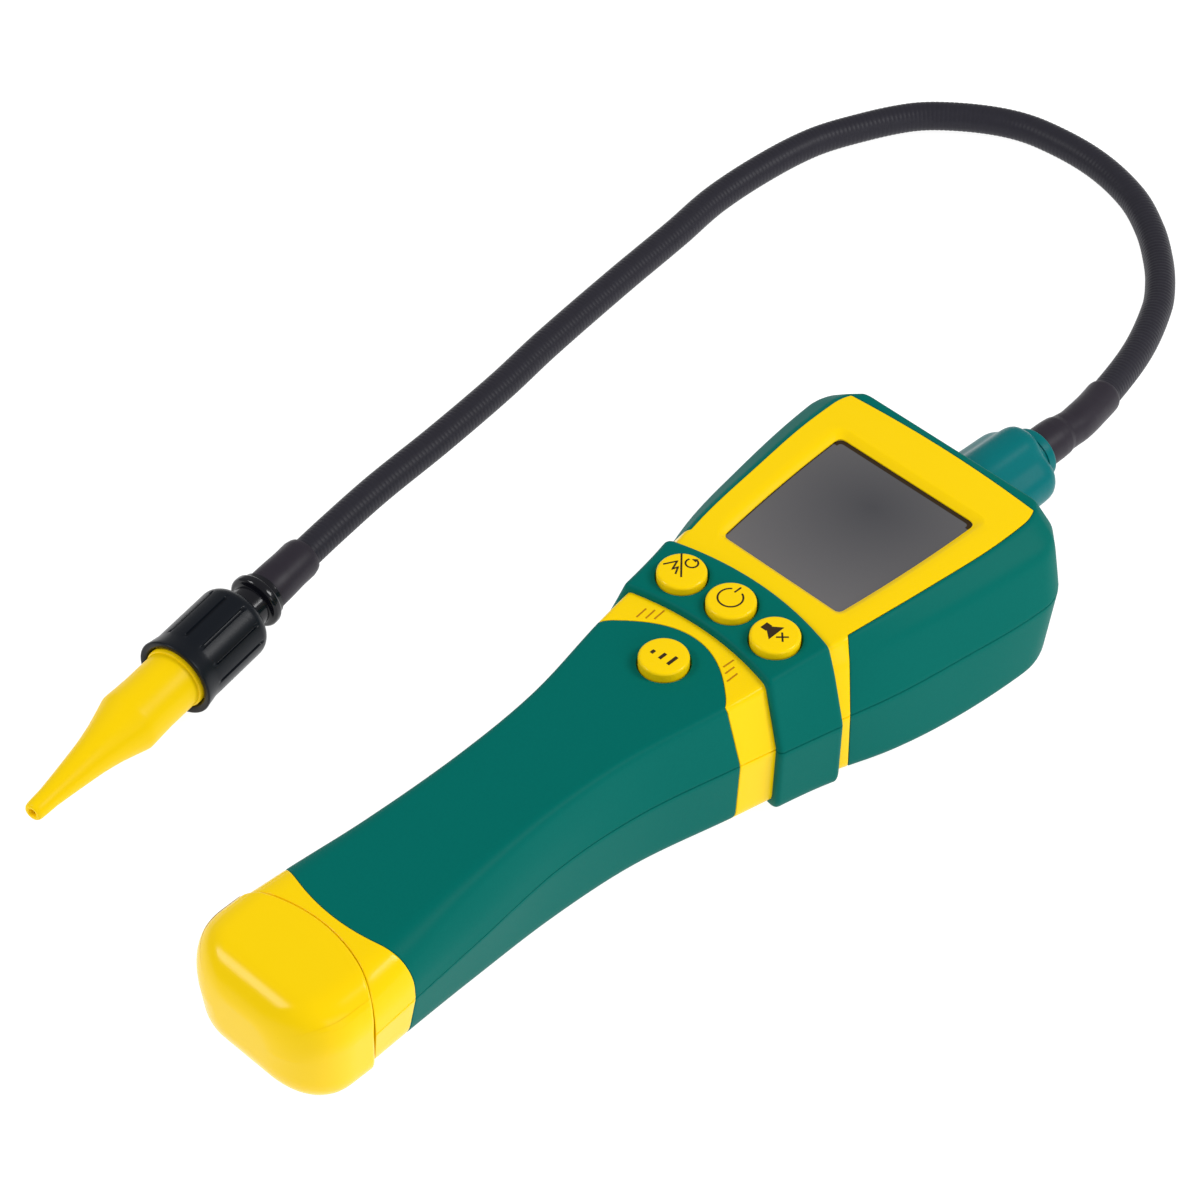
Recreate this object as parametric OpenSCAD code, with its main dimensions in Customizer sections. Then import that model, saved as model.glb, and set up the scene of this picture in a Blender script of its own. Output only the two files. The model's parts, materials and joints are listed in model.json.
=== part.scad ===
// Portable gas leak detector with a stiff gooseneck probe, lying on its back.
// +X is the right side, +Y runs from the battery cap to the probe, +Z points out of the display.
// The bridge lies on the plane z = 0, and the sensor collar just reaches it.

/* [Case] */
// Height of the plane where the front and rear shells meet
parting_z = 21.5; // [21:0.1:22]
// Wall of the hard shells
shell_t = 1.8; // [1.6:0.1:2]
// Thickness of the soft skins moulded over the shells
skin_t = 1.2; // [1:0.1:1.4]
// How far the soft bridge stands proud of the case
bridge_rise = 2; // [1.6:0.1:2.2]
// Y of the flat end wall that carries the probe
head_end_y = 98.7; // [98:0.1:100]

/* [Display] */
// Half width of the window at its far edge
window_far_w = 21; // [20:0.5:21.5]
// Half width of the window at its near edge
window_near_w = 17.8; // [17:0.5:18.5]
// Y of the window's near edge
window_near_y = 38.5; // [38:0.5:39]
// Length of the window along Y
window_len = 43.2; // [42:0.2:44]
// Depth of the window below the bezel
window_sink = 1.4; // [1:0.1:1.6]

/* [Buttons] */
// Radius of a round button
button_r = 6; // [5.6:0.1:6.2]
// Gap between a button and its hole
button_gap = 0.25; // [0.2:0.05:0.3]
// Travel of a pressed button
button_travel = 0.8; // [0.6:0.1:0.8]
// Height of the three bridge buttons above z = 0
button_top_z = 41.3; // [41:0.1:41.5]
// Height of the level button on the handle
level_top_z = 39; // [38.8:0.1:39.2]

/* [Probe] */
// Diameter of the gooseneck
hose_d = 8; // [8:0.1:8.2]
// Height of the gooseneck where it leaves the case
exit_z = 13.5; // [13:0.5:14]
// Y of the nut that the gooseneck leaves
exit_y = 133; // [132:0.5:134]
// X of the gooseneck's far end, where the sensor head begins
tool_x = -106; // [-107:0.5:-105]
// Y of the gooseneck's far end
tool_y = -18; // [-19:0.5:-17]
// Height of the sensor head's axis
tool_z = 10.6; // [10.6:0.1:11]
// Turn of the sensor head's axis away from -Y
tool_turn = 10; // [9:0.5:11]

/* [Battery] */
// Diameter of one cell
cell_d = 10.5; // [10:0.1:10.5]
// Length of one cell
cell_len = 44.5; // [44:0.1:44.5]

/* [Hidden] */

$fn = 64;
play = 0.05;
base_z = bridge_rise;

// Case outline, one row per place along Y:
// y, half width of the top edge, of the parting line and of the base, height of the top, of the base,
// drop and step of the shoulder ridge, softness of the top, ridge and base corners
case_rows = [
    [-116, 18.4, 22.6, 19.2, 35.0, 5.2, 7.0, 1.9, 5.0, 3.0, 7.0],
    [-100, 17.4, 21.2, 18.5, 35.5, 4.8, 7.5, 1.6, 5.0, 3.0, 7.0],
    [-80, 15.2, 18.7, 16.8, 36.1, 3.1, 8.0, 1.1, 4.6, 3.0, 6.0],
    [-52, 14.1, 15.8, 15.8, 36.9, 1.5, 8.0, 0.5, 4.0, 3.0, 5.0],
    [-28, 15.4, 17.5, 17.6, 37.1, 1.2, 7.0, 0.0, 3.0, 2.0, 4.5],
    [-2, 20.2, 24.1, 23.8, 37.3, 1.4, 6.0, 0.0, 1.6, 1.5, 4.0],
    [20, 23.2, 30.2, 29.2, 37.8, 2.0, 5.0, 0.0, 1.2, 1.5, 3.5],
    [40, 24.8, 35.6, 35.8, 39.0, 1.3, 4.5, 3.2, 1.2, 1.5, 3.5],
    [59, 26.8, 38.8, 39.5, 39.0, 0.8, 4.5, 4.3, 1.2, 1.8, 3.5],
    [80, 30.6, 41.7, 41.6, 39.0, 1.1, 4.5, 3.4, 1.2, 2.2, 3.5],
    [104, 33.4, 42.4, 41.8, 39.0, 1.6, 4.5, 2.4, 1.2, 2.4, 3.5]
];

// Smooth curve through the rows: value k of the case at y
function row_at(y, i = 0) = (i >= len(case_rows) - 2 || y < case_rows[i + 1][0]) ? i : row_at(y, i + 1);
function row_slope(i, k) =
    let(a = case_rows[max(i - 1, 0)], b = case_rows[min(i + 1, len(case_rows) - 1)])
    (b[k] - a[k]) / (b[0] - a[0]);
function at(y, k) =
    let(i = row_at(y), p = case_rows[i], q = case_rows[i + 1], h = q[0] - p[0], t = (y - p[0]) / h)
    (2 * t * t * t - 3 * t * t + 1) * p[k] + (t * t * t - 2 * t * t + t) * h * row_slope(i, k)
    + (3 * t * t - 2 * t * t * t) * q[k] + (t * t * t - t * t) * h * row_slope(i + 1, k);

function mix(a, b, t) = a + (b - a) * t;
function unit(v) = v / norm(v);

// Corner at p between a and b, softened over length s, as n + 1 points
function corner(a, p, b, s, n) =
    let(q = p + unit(a - p) * s, r = p + unit(b - p) * s)
    [for (k = [0:n]) let(t = k / n) (1 - t) * (1 - t) * q + 2 * t * (1 - t) * p + t * t * r];

// The head's end corners: how far a level of radius r is tucked in at y
end_mid_r = 13;
end_top_r = 8.5;
end_base_r = 18;
function tuck(y, r, d) =
    let(u = min(y - (head_end_y - d) + r, r)) u > 0 ? r - sqrt(r * r - u * u) : 0;

// Right half of section s, inset by d, from the parting line to the middle
function half_section(s, d, up) =
    let(
        mid = [s[2] - d, parting_z],
        top_z = s[4] - d,
        top = [s[1] - 0.6 * d, top_z],
        ridge = [mix(s[1], s[2], s[6] / (s[4] - parting_z)) + s[7] - d, s[4] - s[6]],
        low = [s[3] - d, s[5] + d],
        soft = max(0.3, 1 - d / 8)
    )
    up ? let(t = corner(ridge, top, [0, top_z], s[8] * soft, 4)) concat(
        [mid], corner(mid, ridge, top, s[9] * soft, 3), t,
        [for (k = [2, 1, 0]) [t[4][0] * k / 3, top_z]])
    : let(t = corner(mid, low, [0, low[1]], s[10] * soft, 5)) concat(
        [mid], t, [for (k = [1, 0]) [t[5][0] * k / 2, low[1]]]);
function mirrored(right) =
    concat(right, [for (i = [len(right) - 2:-1:0]) [-right[i][0], right[i][1], right[i][2]]]);

// Whole half ring in space, right to left
function half_ring(y, d, up) =
    let(
        row = [for (k = [0:10]) at(y, k)],
        s = half_section(row, d, up),
        place = function(p) let(
            level = abs(p[1] - parting_z) / (parting_z - base_z),
            r = mix(end_mid_r, p[1] > parting_z ? end_top_r : end_base_r, min(level, 1)),
            k = 1 - tuck(y, r, d) / (row[2] - d))
            [p[0] * k, y, p[1]]
    )
    mirrored([for (p = s) place(p)]);

// Edges of the coloured zones, as y over the distance x from the middle
function seam(x) = -107.5 - 0.0125 * x * x;
function grip_far(x) = -105 + 0.0095 * x * x;
function grip_near(x) = max(8.8 - 0.028 * x * x, -1.9);
function bridge_near(x) = 12.3 - 0.0065 * x * x;
function bridge_far(x) = 32.9 - 0.0082 * x * x;
function head_near(x) = 34.5 - 0.93 * max(abs(x) - 24, 0);
function core_end(x) = head_end_y - skin_t;

// Half ring whose points lie part way t between two edges a and b
function zone_ring(a, b, t, d, up) =
    let(rough = half_ring(mix(a(0), b(0), t), d, up))
    [for (i = [0:len(rough) - 1])
        let(x = rough[i][0], p = half_ring(mix(a(x), b(x), t), d, up)[i])
        half_ring(mix(a(p[0]), b(p[0]), t), d, up)[i]];
function zone_rows(a, b, ts, d, up) = [for (t = ts) zone_ring(a, b, t, d, up)];
function part_of(ring, i0, i1) = [for (i = [i0:i1]) ring[i]];

// Faces of a grid of m rings of n points that starts at point k. The first h columns are
// split along the other diagonal, so that the left half mirrors the right half
function grid_faces(m, n, k, flip, h) =
    [for (j = [0:m - 2], i = [0:n - 2]) let(a = k + j * n + i, b = a + n) each
        i < h ? (flip ? [[a, a + 1, b], [a + 1, b + 1, b]] : [[a, b, a + 1], [a + 1, b, b + 1]])
        : (flip ? [[a, b + 1, b], [a, a + 1, b + 1]] : [[a, b, b + 1], [a, b + 1, a + 1]])];
function column(m, n, k, i) = [for (j = [0:m - 1]) k + j * n + i];
function row(n, k, j) = [for (i = [0:n - 1]) k + j * n + i];
function back(v) = [for (i = [len(v) - 1:-1:0]) v[i]];
function strip(a, b, h = 0) = [for (i = [0:len(a) - 2]) each i < h
    ? [[a[i], b[i], a[i + 1]], [a[i + 1], b[i], b[i + 1]]] : [[a[i], b[i], b[i + 1]], [a[i], b[i + 1], a[i + 1]]]];

// A meshed solid: its children come out as one plain mesh
module meshed() resize([0, 0, 0]) children();

// Skin between an outer and an inner stack of rings, open at both ends.
// up says on which side of the parting line the rings run, and right how many of their
// columns are on the right side
module skin(outer, inner, up, right = -1) {
    m = len(outer);
    n = len(outer[0]);
    h = right < 0 ? (n - 1) / 2 : right;
    k = m * n;
    f = !up;
    polyhedron(concat([for (r = outer) each r], [for (r = inner) each r]), [for (t = concat(
        grid_faces(m, n, 0, true, h), grid_faces(m, n, k, false, h),
        strip(column(m, n, k, 0), column(m, n, 0, 0)),
        strip(column(m, n, 0, n - 1), column(m, n, k, n - 1)),
        strip(row(n, 0, 0), row(n, k, 0), h),
        strip(row(n, k, m - 1), row(n, 0, m - 1), h)
    )) f ? back(t) : t], convexity = 8);
}

// Half of the case core: rings outside and inside, closed at the last ring, open at the first
module shell(outer, inner, up) {
    m = len(outer);
    w = len(inner);
    n = len(outer[0]);
    h = (n - 1) / 2;
    k = m * n;
    rim = concat(column(m, n, 0, 0), back(column(m, n, 0, n - 1)), column(w, n, k, n - 1),
        back(column(w, n, k, 0)));
    polyhedron(concat([for (r = outer) each r], [for (r = inner) each r]), [for (t = concat(
        grid_faces(m, n, 0, true, h), grid_faces(w, n, k, false, h),
        strip(row(n, 0, 0), row(n, k, 0)),
        [row(n, 0, m - 1), back(row(n, k, w - 1)), rim]
    )) up ? t : back(t)], convexity = 8);
}

// Solid through a stack of closed rings that run against the clock seen from the last ring
module loft(rings, flip = false) {
    m = len(rings);
    n = len(rings[0]);
    pick = function(i) i % n;
    polyhedron([for (r = rings) each r], [for (t = concat(
        [row(n, 0, 0), back(row(n, 0, m - 1))],
        [for (j = [0:m - 2], i = [0:n - 1]) let(a = j * n, b = a + n) each
            [[a + i, b + i, b + pick(i + 1)], [a + i, b + pick(i + 1), a + pick(i + 1)]]]
    )) flip ? back(t) : t], convexity = 8);
}

wall = skin_t + shell_t;
cavity_end_y = head_end_y - wall;
end_steps = [0, 0.15, 0.3, 0.45, 0.6, 0.72, 0.82, 0.9, 0.95, 0.98, 1];
grip_steps = [for (k = [0:10]) k / 10];
strip_edge = function(x) head_near(x) - 0.5;
near_grip = function(x) grip_near(x);
far_grip = function(x) grip_far(x);
near_head = function(x) head_near(x);
end_of_core = function(x) core_end(x);
cap_seam = function(x) seam(x);
near_bridge = function(x) bridge_near(x);
far_bridge = function(x) bridge_far(x);
// Rows across the bridge, and how far each is let in to soften the edges
bridge_steps = [0, 0.04, 0.35, 0.65, 0.96, 1];
bridge_soft = [0.6, 0, 0, 0, 0, 0.6];

// The bezel lies between these two columns of a ring
bezel_i = 8;
function core_ring(t, up) =
    let(side = zone_ring(near_head, end_of_core, t, skin_t, up))
    up ? let(top = zone_ring(near_head, end_of_core, t, 0, up)) concat(part_of(side, 0, bezel_i),
        part_of(top, bezel_i + 1, 23 - bezel_i), part_of(side, 24 - bezel_i, 24)) : side;
function outer_core(up) = concat(
    zone_rows(cap_seam, far_grip, [0, 1], 0, up),
    zone_rows(far_grip, near_grip, grip_steps, skin_t, up),
    [zone_ring(near_grip, strip_edge, 0, 0, up)],
    zone_rows(near_bridge, far_bridge, bridge_steps, 0, up),
    [zone_ring(near_grip, strip_edge, 1, 0, up)],
    [for (t = end_steps) core_ring(t, up)]);
function inner_core(up) = concat(
    [zone_ring(cap_seam, far_grip, 0, wall, up)],
    [for (y = [-96, -80, -66, -52, -39, -26, -13, 0, 13, 27, 40, 52, 64, 76, 86, 90.5, 94, 96, 96.8])
        half_ring(min(y, cavity_end_y), wall, up)]);

// Buttons: x, y, top of the button, top of its flange
buttons = [[-14.8, 19.9, button_top_z, 33.9], [0, 20.9, button_top_z, 33.9],
    [14.8, 19.9, button_top_z, 33.9], [0, -1.5, level_top_z, 33.7]];
module button_holes() {
    for (b = buttons) translate([b[0], b[1], 30]) cylinder(r = button_r + button_gap, h = 14);
}

// Screws in the head: x, y, top of the front boss
screws = [[32.4, 86, 33], [-32.4, 86, 33], [27, 46, 32], [-27, 46, 32]];
screw_r = 1.25;
screw_head_r = 2.9;
module at_screws(z) { for (p = screws) translate([p[0], p[1], z]) children(); }
module counterbores() at_screws(-1) cylinder(r = screw_head_r + 0.2, h = 9);

// Outline of the display window, grown by g
function window_outline(g) =
    let(a = [window_near_w + g, window_near_y - g], b = [window_far_w + g, window_near_y + window_len + g],
        bow = [mix(a[0], b[0], 0.5) + 0.7, mix(a[1], b[1], 0.5)], soft = 2.2 + g / 2,
        right = concat(corner([-a[0], a[1]], a, bow, soft, 3), [bow], corner(bow, b, [-b[0], b[1]], soft, 3)))
    concat(right, back([for (p = right) [-p[0], p[1]]]));
window_top_z = 39 - window_sink;
window_t = 1.4;
module window_prism(g, z0, z1) {
    translate([0, 0, z0]) linear_extrude(z1 - z0) polygon(window_outline(g));
}

// The probe's neck passes through the end wall of the rear half
neck_r = 7;
module neck_hole() {
    translate([0, cavity_end_y - 1, exit_z]) rotate([-90, 0, 0]) cylinder(r = neck_r + 0.1, h = 5);
}

module front_shell() {
    color("gold") difference() {
        union() {
            meshed() shell(outer_core(true), inner_core(true), true);
            for (p = screws) translate([p[0], p[1], parting_z]) cylinder(r = 3.4, h = p[2] - parting_z);
        }
        button_holes();
        window_prism(0, window_top_z - 1, 44);
        window_prism(1.8, 30, window_top_z);
        at_screws(parting_z - 1) cylinder(r = screw_r + play, h = 7);
    }
}

module rear_shell() {
    color("gold") difference() {
        union() {
            meshed() shell(outer_core(false), inner_core(false), false);
            at_screws(4) cylinder(r = 4.4, h = parting_z - 4);
        }
        counterbores();
        at_screws(-1) cylinder(r = screw_r + 0.35, h = 40);
        neck_hole();
    }
}

// Soft skin round the head: flanks, and the end wall as a slab
module flank(i0, i1, up, right) {
    skin([for (r = zone_rows(near_head, end_of_core, end_steps, 0, up)) part_of(r, i0, i1)],
        [for (r = zone_rows(near_head, end_of_core, end_steps, skin_t, up)) part_of(r, i0, i1)], up, right);
}
module end_slab(up) {
    loft([for (u = [1, 0.5, 0.2, 0]) half_ring(head_end_y - u * skin_t, 0, up)], up);
}
module front_head_skin() {
    color("teal") meshed() {
        flank(0, bezel_i, true, bezel_i);
        flank(24 - bezel_i, 24, true, 0);
        end_slab(true);
    }
}
module rear_head_skin() {
    color("teal") difference() {
        meshed() {
            flank(0, 16, false, 8);
            end_slab(false);
        }
        counterbores();
        neck_hole();
    }
}

// Soft bridge, proud of the case all round, with softened edges
// The bridge's underside is flat where the case rests on it
function rest(ring) = [for (p = ring) [p[0], p[1], p[2] < 0.05 ? 0 : p[2]]];
module bridge_half(up) {
    meshed() skin([for (k = [0:5])
        rest(zone_ring(near_bridge, far_bridge, bridge_steps[k], bridge_soft[k] - bridge_rise, up))],
        zone_rows(near_bridge, far_bridge, bridge_steps, 0, up), up);
}
module front_bridge() {
    color("teal") difference() {
        bridge_half(true);
        button_holes();
    }
}
module rear_bridge() { color("teal") bridge_half(false); }

module grip_half(up) {
    meshed() skin(zone_rows(far_grip, near_grip, grip_steps, 0, up),
        zone_rows(far_grip, near_grip, grip_steps, skin_t, up), up);
}
module front_grip() {
    color("teal") difference() {
        grip_half(true);
        button_holes();
    }
}
module rear_grip() { color("teal") grip_half(false); }

// Battery cap: a rounded shell of its own section, with a hollow plug
cap_end_y = -133.05;
cap_top_r = 9;
cap_side_r = 14;
cap_base_r = 13;
cap_near = [-107, 18.8, 22.1, 20.0, 35.5, 3.9, 7.0, 2.2, 5.0, 4.0, 7.0];
cap_far = [-134, 18.4, 22.2, 20.0, 35.0, 3.4, 7.5, 2.8, 6.0, 5.0, 8.0];
function rounding(y, r) =
    let(u = max(cap_end_y + r - y, 0)) r - sqrt(max(r * r - u * u, 0));
// Half ring of the cap, whose end is rounded more at the sides and base than at the top
function cap_half(y, d, up) =
    let(t = (y - cap_near[0]) / (cap_far[0] - cap_near[0]), s = mix(cap_near, cap_far, t),
        side = rounding(y, cap_side_r), k = 1 - side / (1.4 * cap_side_r), top_z = s[4] - rounding(y, cap_top_r),
        drop = s[6] * (top_z - parting_z) / (s[4] - parting_z),
        r = [y, s[1] - side, s[2] - side, s[3] - side, top_z, s[5] + rounding(y, cap_base_r), drop,
            s[7] * k, s[8] * k, s[9] * k, s[10] * k])
    mirrored([for (p = half_section(r, d, up)) [p[0], y, p[1]]]);
function whole(u, l) = concat(u, back(part_of(l, 1, len(l) - 2)));
function cap_ring(y, d) = whole(cap_half(y, d, true), cap_half(y, d, false));
function seam_ring(gap, d) =
    [for (p = cap_ring(seam(0), d)) let(y = seam(p[0]) - gap) [p[0], y, p[2]]];
cap_levels = [0.05, 0.25, 0.7, 1.4, 2.4, 3.8, 5.6, 8, 11, 14.5];
module battery_cap() {
    cap_y = cap_end_y;
    color("gold") difference() {
        meshed() {
            loft(concat([seam_ring(0.25, 0)], [for (u = back(cap_levels)) cap_ring(cap_y + u, 0)]));
            loft([for (y = [-103.6, -116])
                whole(half_ring(y, wall + 0.3, true), half_ring(y, wall + 0.3, false))]);
        }
        translate([-12, -124, 9.3]) cube([24, 21, 21.6]);
    }
}
cell_at = cell_d / 2 + 0.15;
cell_z = 20.1;
module at_cells() {
    for (x = [-1, 1], z = [-1, 1]) translate([x * cell_at, 0, cell_z + z * cell_at]) children();
}
module along_y(y) translate([0, y, 0]) rotate([-90, 0, 0]) children();
module cap_contacts() {
    color("silver") {
        translate([-11.9, -123.9, 9.4]) cube([23.8, 1.6, 21.4]);
        at_cells() along_y(-122.4) cylinder(r1 = 4, r2 = 2, h = 18.2);
    }
}
tray_y = -103.2;
cells_y = -104;
module battery_tray() {
    color("dimgray") translate([0, cells_y + 2 * cell_len - 0.6, cell_z]) rotate([90, 0, 0])
        linear_extrude(2 * cell_len - 1.6) difference() {
            union() {
                for (x = [-1, 1], z = [-1, 1]) translate([x, z] * cell_at) circle(r = cell_d / 2 + 0.8);
                square(2 * cell_at, center = true);
            }
            for (x = [-1, 1], z = [-1, 1]) translate([x, z] * cell_at) circle(r = cell_d / 2 + play);
        }
}
module battery_cells() {
    color("black") at_cells() for (k = [0, 1]) along_y(cells_y + k * cell_len) {
        cylinder(r = cell_d / 2, h = cell_len - 0.9);
        cylinder(r = 2.7, h = cell_len);
    }
}
module tray_contacts() {
    color("silver") translate([-11, cells_y + 2 * cell_len, cell_z - 10.6]) cube([22, 0.8, 21.2]);
}

// Display
module display_window() { color("dimgray") window_prism(1.6, window_top_z - window_t, window_top_z); }
module window_gasket() {
    color("black") difference() {
        window_prism(1.6, window_top_z - window_t - 1, window_top_z - window_t);
        window_prism(-0.6, window_top_z - window_t - 2, window_top_z);
    }
}
board_z = 27;
board_t = 1.6;
module display_module() {
    z = board_z + board_t;
    color("lightgray") translate([-17, window_near_y - 0.5, z])
        cube([34, window_len + 1, window_top_z - window_t - 1 - z]);
}
module main_board() {
    half = [[15, -8], [18, 10], [22, 30], [22, 56], [26, 64], [26, 90]];
    color("darkgreen") translate([0, 0, board_z]) linear_extrude(board_t)
        polygon(concat(half, back([for (p = half) [-p[0], p[1]]])));
}

// Buttons and the rubber domes under them
dome_z = 29.5;
module keypad() {
    color("white") {
        for (b = buttons) translate([b[0], b[1], board_z + board_t]) cylinder(r = 3.4, h = dome_z - board_z - board_t);
        translate([-18, 15, board_z + board_t]) cube([36, 11, 0.4]);
        translate([-3, -4, board_z + board_t]) cube([6, 22, 0.4]);
    }
}
module button(k) {
    b = buttons[k];
    foot = dome_z + button_travel + 0.1;
    color("gold") translate([b[0], b[1], 0]) rotate_extrude() polygon([[0, foot], [2.5, foot], [2.5, b[3] - 1.2],
        [button_r + 0.7, b[3] - 1.2], [button_r + 0.7, b[3]], [button_r, b[3]], [button_r, b[2] - 1.1],
        [button_r - 0.3, b[2] - 0.45], [button_r - 1, b[2] - 0.1], [button_r - 2, b[2]], [0, b[2]]]);
}
module button_peak() button(0);
module button_power() button(1);
module button_mute() button(2);
module button_level() button(3);

// Sampling pump: a cup, a motor that closes it, and a paddle wheel that turns between them
pump_z = 14;
pump_y = 66;
module pump_body() {
    color("dimgray") translate([0, pump_y, pump_z]) rotate([-90, 0, 0]) difference() {
        union() {
            cylinder(r = 8.4, h = 12);
            cylinder(r = 3, h = 15);
        }
        translate([0, 0, -1]) cylinder(r = 7.4, h = 10);
        cylinder(r = 1.2, h = 20);
    }
}
module pump_motor() {
    color("silver") translate([0, pump_y, pump_z]) rotate([90, 0, 0]) difference() {
        cylinder(r = 7.6, h = 14);
        translate([0, 0, -1]) cylinder(r = 1 + play, h = 9);
    }
}
module pump_rotor() {
    color("white") translate([0, pump_y, pump_z]) rotate([-90, 0, 0]) {
        translate([0, 0, -7.5]) cylinder(r = 1, h = 15.5);
        for (a = [0:60:120]) rotate([0, 0, a]) translate([-7, -0.5, 1]) cube([14, 1, 6.5]);
        translate([0, 0, 1]) cylinder(r = 2.5, h = 6.5);
    }
}
tube_end_y = cavity_end_y - 2;
module air_tube() {
    y0 = pump_y + 15;
    color("white") translate([0, y0, pump_z]) rotate([-90, 0, 0]) difference() {
        cylinder(r = 2.2, h = tube_end_y - y0);
        translate([0, 0, -1]) cylinder(r = 1.2, h = 40);
    }
}
module buzzer() { color("black") translate([0, 42, board_z - 6]) cylinder(r = 7, h = 6); }
module case_screws() {
    color("silver") at_screws(0) {
        translate([0, 0, 5.6]) cylinder(r = screw_head_r, h = 2.4);
        translate([0, 0, 8]) cylinder(r = screw_r, h = 18.6);
    }
}

// Soft boss round the probe's root: four rounded lobes
boss_len = 29.8;
function lobe(a) = 11 + 0.9 * cos(4 * a);
// Rows of the boss: distance from the wall, scale, lift
boss_rows = [[0, 1.24, 2.6], [3, 1.13, 1.5], [8, 1.05, 0.6], [26.3, 1, 0], [28.1, 0.96, 0], [29.2, 0.89, 0],
    [boss_len, 0.78, 0]];
module probe_boss() {
    color("teal") difference() {
        union() {
            translate([0, head_end_y, exit_z]) loft([for (r = boss_rows)
                [for (a = [0:9:351]) [cos(a), 0, sin(a)] * lobe(a) * r[1] + [0, r[0], r[2]]]], true);
            translate([0, tube_end_y, exit_z]) rotate([-90, 0, 0]) {
                cylinder(r = neck_r, h = 8);
                cylinder(r = 8.2, h = 1.95);
            }
        }
        along_y(0) translate([0, -exit_z, tube_end_y - 1]) cylinder(r = 1.2, h = 60);
        translate([0, exit_y - 12, exit_z]) rotate([-90, 0, 0]) cylinder(r = hose_d / 2 + play, h = 20);
    }
}
nut_r = 6.9;
module boss_nut() {
    y0 = head_end_y + boss_len;
    color("darkcyan") translate([0, y0, exit_z]) rotate([-90, 0, 0]) rotate_extrude() polygon([
        [hose_d / 2 + play, 0], [nut_r, 0], [nut_r, exit_y - y0 - 0.8], [nut_r - 0.8, exit_y - y0],
        [hose_d / 2 + play, exit_y - y0]]);
}

// Gooseneck: the route of its middle line, hand set, then smoothed
route = [[0, 133, 13.5], [0, 141, 13.3], [0, 149, 12.6], [-3, 164, 10.8], [-9, 185, 8.6], [-17, 203, 7],
    [-23, 212, 6.2], [-30, 220, 5.4], [-40, 229, 4.8], [-53, 237, 4.3], [-70, 241.5, 4.1],
    [-88, 241, 4.1], [-99, 237.5, 4.1], [-111, 229.5, 4.1], [-119, 221, 4.1], [-127, 205, 4.1],
    [-131, 193, 4.1], [-133, 176, 4.1], [-133, 157, 4.2], [-130.5, 139.5, 4.5], [-127, 113.5, 5.4],
    [-122, 81.5, 6.6], [-118, 61, 7.5], [-114, 35, 8.7], [-111, 11, 9.8], [-108, -7, 10.4],
    [-106, -18, 10.6]];
last = len(route) - 1;
tool_dir = [sin(tool_turn), -cos(tool_turn), 0];
function route_way(i) =
    i == 0 ? [0, 1, 0] : i == last ? tool_dir : unit(route[i + 1] - route[i - 1]);
function between(i, t) =
    let(h = norm(route[i + 1] - route[i]), a = route_way(i) * h, b = route_way(i + 1) * h)
    (2 * t * t * t - 3 * t * t + 1) * route[i] + (t * t * t - 2 * t * t + t) * a
    + (3 * t * t - 2 * t * t * t) * route[i + 1] + (t * t * t - t * t) * b;
line = concat([for (i = [0:last - 1], t = [0, 0.5]) between(i, t)], [route[last]]);
line_way = [for (i = [0:len(line) - 1]) i == 0 ? [0, 1, 0] : i == len(line) - 1 ? tool_dir
    : unit(line[i + 1] - line[i - 1])];
sides = 12;
function hose_ring(i, r) =
    let(w = line_way[i], u = unit(cross(w, [0, 0, 1])), v = cross(u, w))
    [for (k = [0:sides - 1]) let(a = 360 * (k + 0.5) / sides) line[i] + r * (u * cos(a) + v * sin(a))];
module gooseneck() {
    color("dimgray") loft([for (i = [0:len(line) - 1]) hose_ring(i, hose_d / 2)], true);
}
sleeve_rs = [5.45, 5.35, 4.9, 4.65, 4.65, 4.65, 4.65];
sleeve_last = len(sleeve_rs) - 1;
module base_sleeve() {
    n = sleeve_last + 1;
    pick = function(i) i % sides;
    outer = [for (i = [0:sleeve_last]) hose_ring(i, sleeve_rs[i])];
    inner = [for (i = [0:sleeve_last]) hose_ring(i, hose_d / 2)];
    pts = concat([for (r = outer) each r], [for (r = inner) each r]);
    k = n * sides;
    color("dimgray") polyhedron(pts, [for (t = concat(
        [for (j = [0:n - 2], i = [0:sides - 1]) let(a = j * sides, b = a + sides) each
            [[a + i, b + i, b + pick(i + 1)], [a + i, b + pick(i + 1), a + pick(i + 1)]]],
        [for (j = [0:n - 2], i = [0:sides - 1]) let(a = k + j * sides, b = a + sides) each
            [[a + i, b + pick(i + 1), b + i], [a + i, a + pick(i + 1), b + pick(i + 1)]]],
        [for (i = [0:sides - 1]) let(h = pick(i + 1)) each [[i, h, k + h], [i, k + h, k + i]]],
        [for (i = [0:sides - 1]) let(h = pick(i + 1), a = (n - 1) * sides) each
            [[a + i, k + a + h, a + h], [a + i, k + a + i, k + a + h]]]
    )) back(t)], convexity = 6);
}

// Sensor head, drawn along its own axis from the gooseneck's end
module at_tool() {
    translate([tool_x, tool_y, tool_z]) rotate([0, 0, tool_turn]) rotate([90, 0, 0]) children();
}
module turned(points) at_tool() rotate_extrude() polygon(points);
module tip_sleeve() {
    color("dimgray") turned([[0, 0], [4.9, 0], [5.3, 0.8], [5.5, 16], [0, 16]]);
}
spigot_r = 5.4;
module sensor_socket() {
    color("black") turned([[0, 16], [6.1, 16], [6.3, 17], [7.15, 17.6], [7.15, 20.8], [6.9, 21.5],
        [spigot_r, 21.8], [spigot_r, 36.4], [4.5, 36.4], [4.5, 37.6], [spigot_r, 37.6], [spigot_r, 39],
        [0, 39]]);
}
module socket_seal() { color("dimgray") turned([[4.52, 36.5], [5.35, 36.5], [5.48, 37], [5.35, 37.5], [4.52, 37.5]]); }
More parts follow.
